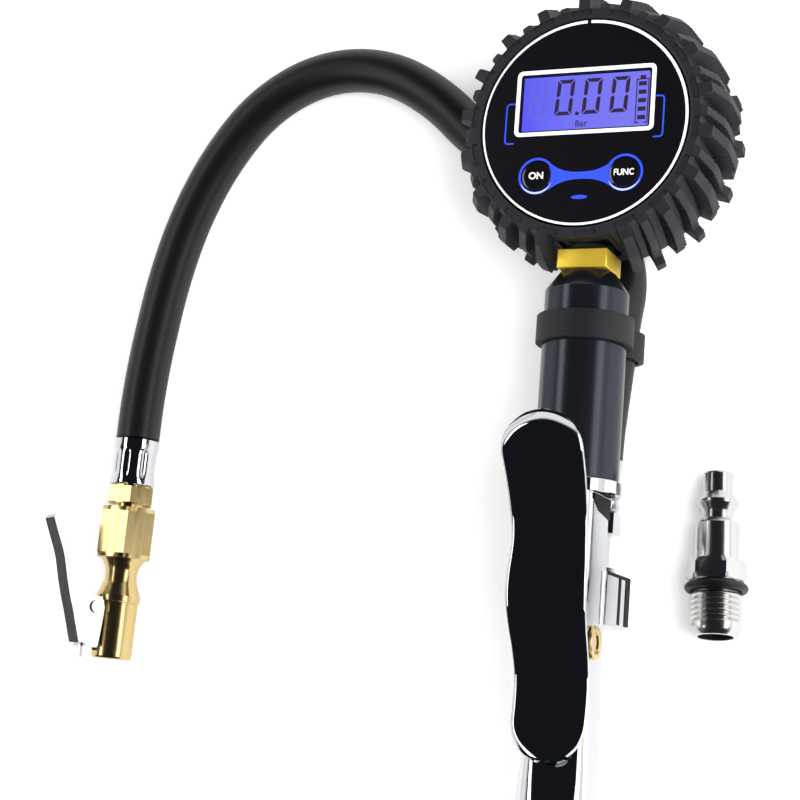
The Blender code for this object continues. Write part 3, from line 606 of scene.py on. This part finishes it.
def display():
    """Backlit display behind the window, with figures, unit, battery bars and the printed frame round it."""
    low_y, high_y = -1.86, 13.34
    prism(
        "visual_lcd", rounded_rectangle(-17.0, low_y + 0.3, 17.0, high_y - 0.3, 0.2), 11.5, 12.1, GAUGE,
        BACKLIGHT, "tool", "lcd_window", "window_clear",
    )
    ink = 12.11
    full = ("top", "upper_right", "lower_right", "bottom", "lower_left", "upper_left")
    for k, x in enumerate((-5.6, 1.85, 9.3)):
        digit(f"figure_{k}", x, 7.1, full, INK, ink)
    digit("ghost_figure", -12.9, 7.3, (*full, "middle"), GHOST, ink)
    prism("figure_point", arc_points(-2.0, 2.55, 0.55, 0, 345, 24), ink, ink + 0.02, GAUGE, INK, "tool")
    words("unit_word", "Bar", 1.75, (-0.65, -0.2), ink + 0.015, GAUGE, FAINT, "tool", weight=0.02)
    left, right, foot, top = 13.6, 17.0, -1.0, 11.0
    line = 0.28
    for name, box in {
        "left": (left, foot, left + line, top), "right": (right - line, foot, right, top),
        "top": (left, top - line, right, top), "foot_left": (left, foot, left + 1.1, foot + line),
        "foot_right": (right - 1.1, foot, right, foot + line), "cap": (
            left + 0.95, top, right - 0.95, top + 0.9,
        ),
    }.items():
        x0, y0, x1, y1 = box
        prism(
            f"battery_{name}", [(x0, y0), (x1, y0), (x1, y1), (x0, y1)], ink, ink + 0.02, GAUGE, INK,
            "tool",
        )
    for k in range(5):
        y = 0.55 + k * 2.28
        prism(
            f"battery_bar_{k}",
            [(14.25, y - 0.58), (16.35, y - 0.58), (16.35, y + 0.58), (14.25, y + 0.58)], ink, ink + 0.02,
            GAUGE, INK, "tool",
        )
    band(
        "print_frame",
        rounded_rectangle(-18.85, -3.2, 18.85, 14.85, 1.5, 8),
        rounded_rectangle(-17.75, -2.15, 17.75, 13.75, 0.7, 8),
        12.5, 12.56, GAUGE, WHITE, "tool",
    )
    for side, name in ((-1, "left"), (1, "right")):
        path = np.concatenate([
            [(side * 18.95, 5.95), (side * 19.6, 5.95)],
            np.column_stack(
                [
                    side * (20.4 + 0.9 * np.sin(np.radians([0, 30, 60, 90]))),
                    5.05 + 0.9 * np.cos(np.radians([0, 30, 60, 90])),
                ]
            ),
            np.column_stack(
                [
                    side * (20.4 + 0.9 * np.cos(np.radians([0, 30, 60, 90]))),
                    -4.1 - 0.9 * np.sin(np.radians([0, 30, 60, 90])),
                ]
            ),
            [(side * 19.6, -5.0), (side * 18.75, -5.0)],
        ])
        strip(f"bracket_{name}", path, 0.42, 12.5, 12.54, GAUGE, BLUE, "tool")


def dumbbell():
    """Blue outline that joins the two button rings through a narrow waist."""
    x = np.linspace(-8.6, 8.6, 61)
    half = 1.0 + 2.75 * (np.abs(x) / 8.6) ** 2.6
    upper = np.column_stack([x + 0.2, -14.45 + half])
    lower = np.column_stack([x + 0.2, -14.45 - 0.95 * half])[::-1]
    prism("print_waist", np.concatenate([upper, lower]), 12.5, 12.53, GAUGE, BLUE, "tool")


def face():
    """Glossy panel with its window and button wells, the printed ring, and the two domed buttons."""
    panel = turned(
        "visual_panel", [(27.7, 11.3), (27.9, 11.5), (27.9, 12.35), (27.75, 12.5)], GAUGE, FACE, "tool",
        "face_panel", "face_gloss", steps=144,
    )
    window = prism(
        "window_hole", rounded_rectangle(-17.3, -1.86, 17.3, 13.34, 0.4), 10, 14, GAUGE, DARK, None,
    )
    cut(panel, window)
    for side in (-1, 1):
        cut(
            panel,
            turned("well", [(4.3, 10), (4.3, 14)], GAUGE, DARK, None, steps=48, x=side * 11.84, y=-14.13),
        )
    ring = np.linspace(91.1, 448.9, 200)
    thick = 0.24 + 0.17 * np.clip(
        np.cos(np.radians(ring - 60)), 0, 1,
    ) + 0.08 * np.clip(np.cos(np.radians(ring + 60)), 0, 1)
    outer = np.column_stack(
        [(27.45 + thick) * np.cos(np.radians(ring)), (27.45 + thick) * np.sin(np.radians(ring))]
    )
    inner = np.column_stack(
        [(27.45 - thick) * np.cos(np.radians(ring)), (27.45 - thick) * np.sin(np.radians(ring))]
    )
    prism("print_ring", np.concatenate([outer, inner[::-1]]), 12.5, 12.56, GAUGE, WHITE, "tool")
    display()
    dumbbell()
    prism(
        "print_oval",
        np.column_stack(
            [
                0.15 + 2.15 * np.cos(np.linspace(0, math.tau, 32, False)),
                -20.25 + 0.55 * np.sin(np.linspace(0, math.tau, 32, False)),
            ]
        ),
        12.5, 12.54, GAUGE, BLUE, "tool",
    )
    for side, body, node, text, height in (
        (-1, "on_key", "on_button", "ON", 1.95), (1, "func_key", "func_button", "FUNC", 1.75),
    ):
        x, y = side * 11.84, -14.13
        turned(
            f"ring_{text}", [(4.3, 12.5), (4.95, 12.5), (4.95, 12.56), (4.3, 12.56)], GAUGE, BLUE, "tool",
            steps=64, looped=True, x=x, y=y,
        )
        # Pale blue crescent along the lower edge of each ring: a painted highlight.
        glint = arc_points(x, y, 4.62, 205, 335, 30)
        strip(
            f"glint_{text}", glint, 0.5 * np.sin(np.linspace(0.05, math.pi - 0.05, 30))[:, None], 12.56,
            12.58, GAUGE, PAINTED_GLINT, "tool",
        )
        dome = [
            (1.5, 9.2), (1.5, 10.1), (4.75, 10.1), (4.75, 10.9), (4.02, 10.9), (4.02, 12.55), (3.85, 12.85),
            (3.3, 13.02), (2.6, 12.98), (1.4, 12.93), (0.3, 12.92),
        ]
        turned(f"visual_{node}", dome, GAUGE, DOME, body, node, "black_plastic", steps=64, x=x, y=y, sharp=40)
        words(
            f"word_{text}", text, height, (x, y), 12.97, GAUGE, WHITE, body, weight=0.028,
            wide=0.92 if text == "FUNC" else 1.0,
        )


# ---------------------------------------------------------------- stem, tube and clip

def stem_and_tube():
    """Square brass block on the gauge's stem, the anodised tube with its cone, and the rubber hose clip."""
    block = prism(
        "visual_stem_block", rounded_rectangle(-6.75, -6.75, 6.75, 6.75, 0.35, 3), 90.4, 95.4, ALONG_TOOL,
        YELLOW_BRASS, "tool", "gauge_stem", "brass", bevel=0.25,
    )
    turned(
        "visual_stem_spigot", [(1.5, 79.0), (5.4, 79.0), (5.4, 90.35), (1.5, 90.35)], ALONG_TOOL, BRASS,
        "tool", looped=True, steps=48,
    )
    turned(
        "visual_stem_top", [(1.5, 95.45), (4.6, 95.45), (4.6, 101.6), (1.5, 101.6)], ALONG_TOOL, BRASS,
        "tool", looped=True, steps=48,
    )
    profile = [
        (8.6, 35.4), (10.8, 35.4), (11.0, 35.6), (11.0, 84.9), (
            10.85, 85.2,
        ), (7.5, 89.9), (7.2, 90.1), (5.7, 90.1),
        (5.7, 78.0), (8.6, 76.0),
    ]
    turned(
        "visual_tube", profile, ALONG_TOOL, ANODISED, "tool", "barrel_tube", "black_anodised", looped=True,
        steps=160, sharp=24,
    )
    shift = 2.2
    drop = AXIS_Z - HOSE_HEIGHT
    clip = turned(
        "visual_clip", [(12.55, 70.75), (12.75, 70.95), (12.75, 78.05), (12.55, 78.25)], ALONG_TOOL,
        SMOOTH_RUBBER, "tool", "hose_clip", "seal_rubber", steps=120,
    )
    cut(
        clip,
        turned(
            "loop", [(8.3, 70.75), (8.3, 78.25)], ALONG_TOOL, SMOOTH_RUBBER, None, steps=80, x=shift,
            y=drop,
        ),
        "UNION",
    )
    cut(clip, turned("bore", [(11.12, 69), (11.12, 80)], ALONG_TOOL, SMOOTH_RUBBER, None, steps=120))
    cut(
        clip,
        turned("bore", [(6.8, 69), (6.8, 80)], ALONG_TOOL, SMOOTH_RUBBER, None, steps=64, x=shift, y=drop),
    )


# ---------------------------------------------------------------- body, lever and valve

def body():
    """Cast body: rounded sections lofted along the tool, with collar, boss and inlet."""
    stations = np.array([
        (32.5, 7.2, -9.5, 9.4, 3.5), (14.0, 7.4, -10.0, 9.8, 3.5), (-6.0, 7.4, -10.5, 10.4, 3.0),
        (-16.0, 7.4, -10.8, 6.6, 3.0), (-24.0, 8.2, -11.0, 6.2, 4.0), (-40.0, 9.2, -11.0, 7.4, 5.5),
        (-54.0, 10.2, -10.6, 9.8, 8.0), (-58.0, 10.6, -10.6, 10.6, 10.0),
    ])
    rings = []
    for y in np.linspace(32.5, -58.0, 70):
        half, low, high, radius = [np.interp(y, stations[::-1, 0], stations[::-1, k]) for k in (1, 2, 3, 4)]
        section = rounded_rectangle(-half, low, half, high, radius, 9)
        rings.append(np.column_stack([section[:, 0], np.full(len(section), y), section[:, 1]]))
    made = piece(
        "visual_body", np.concatenate(rings), grid_faces(len(rings), len(rings[0])), TOOL, CHROME, "tool",
        "body", "chrome",
    )
    collar = [
        (12.0, 31.8), (12.1, 31.95), (12.1, 34.9), (11.9, 35.1), (8.2, 35.1), (8.2, 39.8), (7.4, 39.8),
        (7.4, 41.8), (8.2, 41.8), (8.2, 50.0),
    ]
    cut(made, turned("collar", collar, ALONG_TOOL, CHROME, None, steps=120), "UNION")
    low, high = -0.6, 13.0
    boss_ring = rounded_rectangle(-8.3, -AXIS_Z, 8.3, -4.0, 2.0, 6)
    rows = np.concatenate(
        [np.column_stack([boss_ring[:, 0], np.full(len(boss_ring), y), boss_ring[:, 1]]) for y in (low, high)]
    )
    cut(made, piece("boss", rows, grid_faces(2, len(boss_ring)), TOOL, CHROME, None), "UNION")
    inlet = [(10.0, -70.0), (10.8, -69.5), (11.0, -68.8), (11.0, -57.0), (9.5, -55.0)]
    cut(made, turned("inlet", inlet, ALONG_TOOL, CHROME, None, steps=96), "UNION")
    fitting = place((0, 0, HOSE_HEIGHT), (1, 0, 0), (0, 1, 0))
    for radius, start, end, where, x, y in (
        (
            6.2, -71, -56, ALONG_TOOL, 0, 0,
        ), (4.0, -10.2, 12, VALVE, 0, 0), (4.3, 4.5, 14, fitting, 0, 0), (2.1, -12, 12, ACROSS, 0, 0),
    ):
        cut(made, turned("bore", [(radius, start), (radius, end)], where, CHROME, None, steps=48, x=x, y=y))
    # Painted shade: a dark plate under the collar, and dark strips along the boss's right side where its steps
    # and edge fall in shade.
    prism(
        "visual_neck_shadow", [(26.4, -7.6), (31.6, -7.6), (31.6, 7.0), (30.2, 7.0), (27.6, 2.0)], 7.22,
        7.5, place((0, 0, AXIS_Z), (0, 1, 0), (1, 0, 0)), DARK, "tool",
    )
    for k, (z0, z1) in enumerate(((-18.4, -16.4), (-26.9, -23.0))):
        block(f"boss_painted_shade_{k}", (8.1, 0.2, z0), (8.42, 12.6, z1), TOOL, DARK, "tool")
    block("boss_edge_painted_shade", (8.1, 12.3, -26.9), (8.46, 13.15, -6.0), TOOL, DARK, "tool")


def block(name, low, high, where, material, body):
    """Box between two corners."""
    (x0, y0, z0), (x1, y1, z1) = low, high
    return prism(name, [(x0, y0), (x1, y0), (x1, y1), (x0, y1)], z0, z1, where, material, body)


LEVER_KNOTS = np.array([
    (-36, 14.2), (-30, 12.2), (-23, 10.8), (-16, 11.0), (-10, 13.4), (-4, 17.0), (2, 19.5), (8, 20.2),
    (14, 19.7), (20, 19.9), (26, 22.0), (32, 25.3), (38, 29.4), (43, 31.8), (49, 33.0),
])
HALF_KNOTS = np.array(
    [(-36, 9.6), (-15, 9.7), (-4, 10.1), (2, 10.3), (11, 10.1), (18, 9.7), (27, 10.0), (36, 10.4), (49, 10.4)]
)


def spline(knots, x):
    """Smooth curve through the knots: Hermite pieces with the mean of the neighbouring slopes."""
    kx, ky = knots[:, 0].astype(float), knots[:, 1].astype(float)
    slope = np.gradient(ky, kx)
    i = np.clip(np.searchsorted(kx, x) - 1, 0, len(kx) - 2)
    h = kx[i + 1] - kx[i]
    t = (x - kx[i]) / h
    return (
        (2 * t**3 - 3 * t**2 + 1) * ky[i] + (t**3 - 2 * t**2 + t) * h * slope[i]
        + (-2 * t**3 + 3 * t**2) * ky[i + 1] + (t**3 - t**2) * h * slope[i + 1]
    )


def lever():
    """Thumb lever, a pressed plate: section at y = a crowned strip with edges rolled down, ends half round."""
    tip, tail, thick = 48.3, -35.5, 1.6
    share = (1 - np.cos(np.linspace(0, math.pi, 150))) / 2
    ys = tail + (tip - tail) * share
    u = np.sin(np.linspace(-math.pi / 2, math.pi / 2, 61))
    rings = []
    for y in ys:
        run = min(tip - y, y - tail)
        full = float(spline(HALF_KNOTS, np.array([y]))[0])
        half = max(math.sqrt(max(full**2 - (full - run) ** 2, 0)), 0.9) if run < full else full
        x = half * u
        edge = np.where(run < full, full - np.hypot(x, full - run), full - np.abs(x))
        roll = 0.9 + (4.6 if y > 0 else 0.8) * (1 - smooth(run / full))
        at = lambda v: float(spline(LEVER_KNOTS, np.array([min(max(v, tail), tip)]))[0])
        slope = (at(y + 0.5) - at(y - 0.5)) / (min(y + 0.5, tip) - max(y - 0.5, tail))
        normal = np.array([-slope, 1.0]) / math.hypot(slope, 1.0)
        fall = (
            0.42 + (0.14 if y > 0 else 0) * (1 - smooth(run / full))
        ) * roll * np.clip(1 - np.maximum(edge, 0) / roll, 0, 1) ** 2
        dip = 0.25 * u**2 + fall
        top = np.column_stack([x, y - normal[0] * dip, at(y) - normal[1] * dip])
        under_dip = 0.25 * u**2 + np.minimum(fall, 0.6) + thick
        under = np.column_stack([x * 0.985, y - normal[0] * under_dip, at(y) - normal[1] * under_dip])
        rings.append(np.concatenate([top, under[::-1]]))
    made = piece(
        "visual_lever", np.concatenate(rings), grid_faces(len(rings), len(rings[0])), TOOL, CHROME,
        "trigger", "trigger_lever", "chrome", sharp=50,
    )
    ys = np.linspace(-11.5, 8.5, 14)
    upper = np.column_stack([ys, spline(LEVER_KNOTS, ys) - 1.5])
    foot = arc_points(PIVOT_Y, PIVOT_Z, 4.6, 0, -180, 17)
    side = place((0, 0, AXIS_Z), (0, 1, 0), (1, 0, 0))
    for low in (7.7, -8.9):
        cut(made, prism("ear", np.concatenate([upper, foot]), low, low + 1.2, side, CHROME, None), "UNION")
    cut(made, turned("bore", [(2.1, -12), (2.1, 12)], ACROSS, CHROME, None, steps=48))


def valve_and_pin():
    """Turned pin with its clip, and the valve's bush and stem."""
    pin = [
        (2.0, -10.4), (2.0, 9.2), (4.1, 9.2), (4.3, 9.4), (4.3, 9.9), (4.1, 10.1), (2.9, 10.1), (2.6, 9.9),
        (2.6, 9.6), (0.2, 9.6),
    ]
    turned("visual_lever_pin", pin, ACROSS, BRASS, "tool", "lever_pin", "brass", steps=64)
    turned(
        "visual_pin_clip", [(2.1, -10.0), (3.6, -10.0), (3.6, -9.2), (2.1, -9.2)], ACROSS, STEEL, "tool",
        "lever_pin_clip", "steel", looped=True, steps=48,
    )
    bush = [(1.75, 4.0), (3.7, 4.0), (3.7, 10.3), (4.7, 10.3), (4.7, 11.7), (4.2, 12.2), (1.75, 12.2)]
    turned("visual_bush", bush, VALVE, BRASS, "tool", "valve_bush", "brass", looped=True, steps=64)
    stem = [
        (1.2, -3.0), (1.2, 0.6), (3.3, 0.6), (3.3, 2.1), (1.6, 2.1), (1.6, 17.2), (1.35, 17.5), (0.8, 17.6),
    ]
    turned("visual_valve_stem", stem, VALVE, STEEL, "valve", "valve_stem", "steel", steps=48)


def valve_spring():
    """Coil: point = (x + r cos t, y + r sin t, z rising with t), five turns, shorter as the valve sinks."""
    low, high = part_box("valve_spring")
    middle = (low + high) / (2 * MM)
    wire = 0.32
    bottom, top = low.z / MM + wire, high.z / MM - wire
    t = np.linspace(0, 5 * math.tau, 240)
    coil = np.column_stack(
        [middle.x + 2.45 * np.cos(t), middle.y + 2.45 * np.sin(t), bottom + (top - bottom) * t / t[-1]]
    )
    made = tube_along("visual_valve_spring", coil, wire, STEEL, 10)
    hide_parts("valve_spring")
    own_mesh(made)


# ---------------------------------------------------------------- hose, chuck and plug

def crimped(name, where, stands_for):
    """Crimped ferrule: collar, eight pressed flats with ridges between them, and a flared foot."""
    rows = [
        (3.4, 0.0, 0), (6.2, 0.0, 0), (6.45, 0.25, 0), (6.45, 2.9, 0), (6.3, 3.3, 0), (
            6.15, 3.9, 0.6,
        ), (6.1, 4.8, 1),
        (6.1, 9.8, 1), (
            6.15, 10.9, 0.7,
        ), (6.35, 11.9, 0.2), (6.5, 12.9, 0), (6.5, 13.5, 0), (6.3, 13.7, 0), (3.4, 13.7, 0),
    ]
    t = math.tau * np.arange(192) / 192
    lobe = np.abs(np.sin(4 * t + 0.4)) ** 0.6
    rings = []
    for r, h, press in rows:
        reach = r * (1 - press * 0.075 * (1 - lobe))
        rings.append(np.column_stack([reach * np.cos(t), reach * np.sin(t), np.full(len(t), h)]))
    return piece(
        name, np.concatenate(rings), grid_faces(len(rings), len(t), looped=True), where, CHROME, "tool",
        stands_for, "chrome", sharp=40,
    )


def hexagon(name, flats, low, high, where, material, body, start=0.0, chamfer=0.45):
    """Hexagonal prism whose corners are turned off at both ends, as on a lathe."""
    count, per = 6, 12
    corner = flats / math.sqrt(3)
    t = math.tau * np.arange(count * per) / (count * per)
    local = np.mod(t, math.tau / 6) - math.tau / 12
    reach = flats / 2 / np.cos(local)
    rings = []
    for limit, h in (
        (flats / 2 - 0.1, low), (flats / 2 + 0.02, low + 0.05), (corner, low + chamfer),
        (corner, high - chamfer), (flats / 2 + 0.02, high - 0.05), (flats / 2 - 0.1, high),
    ):
        r = np.minimum(reach, limit)
        rings.append(np.column_stack([r * np.cos(t + start), r * np.sin(t + start), np.full(len(t), h)]))
    return piece(name, np.concatenate(rings), grid_faces(len(rings), len(t)), where, material, body, sharp=9)


def hose():
    """Hose along its route, with the crimped ferrule and the fitting that screws into the boss."""
    made = tube_along("visual_hose", ROUTE, HOSE_R, HOSE_RUBBER)
    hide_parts("hose")
    top = place((0, HOSE_START_Y - 0.3, HOSE_HEIGHT), (1, 0, 0), (0, -1, 0))
    crimped("visual_hose_ferrule", top, "hose_ferrule")
    fitting = place((0, 0, HOSE_HEIGHT), (1, 0, 0), (0, 1, 0))
    profile = [
        (4.0, 5.0), (4.0, 13.3), (6.0, 13.3), (6.0, 15.0), (4.3, 15.8), (4.3, 23.8), (3.0, 23.8),
        (3.0, 43.4),
    ]
    nut = turned("visual_fitting", profile, fitting, CHROME, "tool", "hose_fitting", "brass", steps=64)
    cut(nut, hexagon("nut", 12.0, 23.6, 30.0, fitting, CHROME, None, math.radians(30)), "UNION")
    return made


def chuck():
    """Turned chuck with a hexagon, a waist from the spline, a lug for the pivot and its bores."""
    corner = math.radians(-10)
    crimped("visual_chuck_ferrule", CHUCK, "chuck_ferrule")
    nut = hexagon("visual_chuck_nut", 12.6, 14.0, 19.6, CHUCK, BRASS, "tool", corner)
    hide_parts("chuck_nut")
    cut(nut, turned("barb", [(3.0, 0.4), (3.0, 14.4)], CHUCK, BRASS, None, steps=32), "UNION", 9)
    cut(nut, turned("spigot", [(4.2, 19.0), (4.2, 27.0)], CHUCK, BRASS, None, steps=32), "UNION", 9)
    cut(nut, turned("bore", [(1.5, 0), (1.5, 28)], CHUCK, BRASS, None, steps=24), sharp=9)
    s = np.linspace(34.6, 46.4, 26)
    knots = np.array(
        [(34.0, 7.5), (36.0, 6.3), (38.2, 5.0), (40.2, 4.65), (42.0, 4.75), (44.2, 5.5), (46.6, 6.4)]
    )
    waist = np.column_stack([spline(knots, s), s])
    profile = [
        (6.9, 34.0), *waist.tolist(), (6.4, 46.6), (6.4, 48.2), (6.2, 48.4), (5.9, 48.6), (5.9, 64.3),
        (5.7, 64.8), (5.4, 65.0),
    ]
    made = turned(
        "visual_chuck_body", profile, CHUCK, BRASS, "tool", "chuck_body", "brass", steps=144, sharp=28,
    )
    cut(made, hexagon("hex", 15.4, 20.6, 35.6, CHUCK, BRASS, None, corner, 1.3), "UNION", 9)
    cut(made, block("lug", (4.0, -2.9, 47.4), (9.6, 2.9, 53.6), CHUCK, BRASS, None), "UNION", 9)
    cut(made, block("gap", (5.3, -1.4, 47.9), (11.0, 1.4, 53.1), CHUCK, BRASS, None), sharp=9)
    cut(made, turned("bore", [(4.5, 19), (4.5, 28)], CHUCK, BRASS, None, steps=48), sharp=9)
    cut(made, turned("bore", [(1.4, 26), (1.4, 54)], CHUCK, BRASS, None, steps=32), sharp=9)
    cut(made, turned("bore", [(4.4, 51.5), (4.4, 66)], CHUCK, BRASS, None, steps=64), sharp=9)
    cut(made, block("jaw_slot", (2.5, -2.6, 60.4), (8.0, 2.6, 63.0), CHUCK, BRASS, None), sharp=9)
    cut(made, turned("bore", [(1.3, -4), (1.3, 4)], CHUCK_PIVOT, BRASS, None, steps=32), sharp=9)
    pin = [(1.9, -5.4), (1.9, -4.7), (1.2, -4.7), (1.2, 5.3)]
    turned("visual_clip_pin", pin, CHUCK_PIVOT, STEEL, "tool", "clip_pivot_pin", "steel", steps=48)


def clip_lever():
    """Bent sheet strip with two side plates on the pivot and a jaw at the mouth."""
    half, sheet = 4.4, 0.9
    run = np.array(
        [
            (25.4, 23.2), (26.4, 23.6), (30.0, 22.1), (35.0, 19.9), (37.5, 19.0), (43.7, 17.4),
            (48.0, 16.1), (52.0, 14.7), (61.3, 11.8),
        ]
    )
    s = np.concatenate([np.linspace(25.4, 26.4, 4), np.linspace(26.8, 61.3, 40)])
    x = np.interp(s, run[:, 0], run[:, 1])
    outline = np.concatenate([np.column_stack([x, s]), np.column_stack([x - sheet, s])[::-1]])
    side = CHUCK @ place((0, 0, 0), (1, 0, 0), (0, -1, 0))
    made = prism("visual_clip_lever", outline, -half, half, side, ZINC, "clip", "clip_lever", "chrome")
    # A dark strip laid on the lever's outer face: painted reflection, not a part of the clip.
    s_top, x_top = s[3:], x[3:] + 0.02
    cover = np.concatenate(
        [np.column_stack([x_top + 0.12, s_top]), np.column_stack([x_top - 0.05, s_top])[::-1]]
    )
    prism("visual_clip_painted_reflection", cover, 0.12 - half, half - 0.12, side, PAINTED_REFLECTION, "clip")
    ear = [
        (
            22.5, 27.3,
        ), (19.3, 35.1), (16.8, 43.8), (14.1, 52.2), (11.3, 60.8), (9.4, 61.9), (5.9, 61.7), (5.4, 55.0),
        (5.2, 50.5), (5.9, 48.2), (7.6, 47.4), (11.2, 46.6), (14.4, 42.6), (17.4, 35.0), (21.0, 27.6),
    ]
    for low in (0.07 - half, half - 0.97):
        cut(made, prism("ear", ear, low, low + 0.9, side, ZINC, None), "UNION")
    cut(made, block("jaw", (4.9, -2.2, 61.2), (11.2, 2.2, 62.2), CHUCK, ZINC, None), "UNION")
    cut(made, block("toe", (9.2, -3.3, 60.9), (10.1, -1.3, 65.3), CHUCK, ZINC, None), "UNION")
    cut(made, turned("bore", [(1.3, -6), (1.3, 6)], CHUCK_PIVOT, ZINC, None, steps=32))
    edge = made.modifiers.new("Edges", "BEVEL")
    edge.width, edge.segments, edge.limit_method, edge.angle_limit = 0.12 * MM, 2, "ANGLE", math.radians(30)


def plug():
    """Turned plug with a hexagon, six thread ridges, a bore darkened by a thin sleeve of painted shade, and a
    round seal: section = an ellipse.
    """
    thread = []
    for k in range(6):
        low = 32.3 + 1.42 * k
        thread += [(6.15, low), (6.75, low + 0.55), (6.8, low + 0.7), (6.75, low + 0.85)]
    profile = [
        (3.4, 0.0), (
            3.85, 0.25,
        ), (4.0, 0.6), (4.0, 5.5), (4.3, 6.1), (5.1, 7.3), (5.45, 7.8), (5.5, 8.2), (5.42, 8.7),
        (4.4, 10.1), (4.1, 10.6), (4.1, 12.5), (4.4, 12.9), (
            5.7, 13.75,
        ), (5.85, 14.1), (5.85, 23.2), (6.6, 23.4), (6.6, 29.1),
        (5.9, 29.3), (5.9, 32.2), *thread, (6.65, 41.1), (6.5, 41.9), (5.85, 43.0), (5.5, 43.4),
    ]
    made = turned(
        "visual_plug", profile, PLUG, NICKEL, "loose_plug", "inlet_plug", "nickel_plate", steps=120,
        sharp=30,
    )
    cut(made, hexagon("hex", 14.0, 23.6, 29.0, PLUG, NICKEL, None, 0.0, 1.3), "UNION")
    cut(made, turned("bore", [(2.6, -1), (2.6, 34)], PLUG, DARK, None, steps=48))
    cut(made, turned("bore", [(4.6, 32), (4.6, 45)], PLUG, DARK, None, steps=64))
    # A thin black sleeve just inside the threaded bore: painted shade where the bore's hollow falls dark.
    bore_shade = [(4.5, 34.2), (4.57, 34.2), (4.57, 43.1), (4.5, 43.1)]
    turned("visual_plug_bore_shade", bore_shade, PLUG, DARK, "loose_plug", looped=True, steps=64)
    t = np.radians(np.linspace(0, 360, 24, False))
    ring = np.column_stack([7.25 + 0.95 * np.cos(t), 30.7 + 1.1 * np.sin(t)])
    turned(
        "visual_plug_seal", ring, PLUG, HOSE_RUBBER, "loose_plug", "plug_seal", "seal_rubber", looped=True,
        steps=96, sharp=180,
    )


# ---------------------------------------------------------------- unseen CAD pieces keep their shape

CAD_LOOKS = {
    "gauge_case": BLACK_PLASTIC, "battery_cover": BLACK_PLASTIC, "battery_cover_screw": STEEL,
    "circuit_board": BOARD, "lcd_module": DARK, "on_switch": STEEL,
    "func_switch": STEEL, "pressure_sensor": STEEL, "battery_upper": CELL,
    "battery_lower": CELL, "battery_contact_left": NICKEL, "battery_contact_right": NICKEL,
    "stem_seal": SMOOTH_RUBBER, "barrel_seal": SMOOTH_RUBBER, "valve_seal": SMOOTH_RUBBER,
    "inlet_filter": STEEL, "chuck_seal": SMOOTH_RUBBER, "chuck_pin": BRASS,
    "clip_spring": STEEL,
}

camera()
hose_piece = hose()
stage()
boot()
face()
stem_and_tube()
body()
lever()
valve_and_pin()
valve_spring()
chuck()
clip_lever()
plug()
for node, look in CAD_LOOKS.items():
    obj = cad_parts[node]
    obj.data.materials.clear()
    obj.data.materials.append(look)
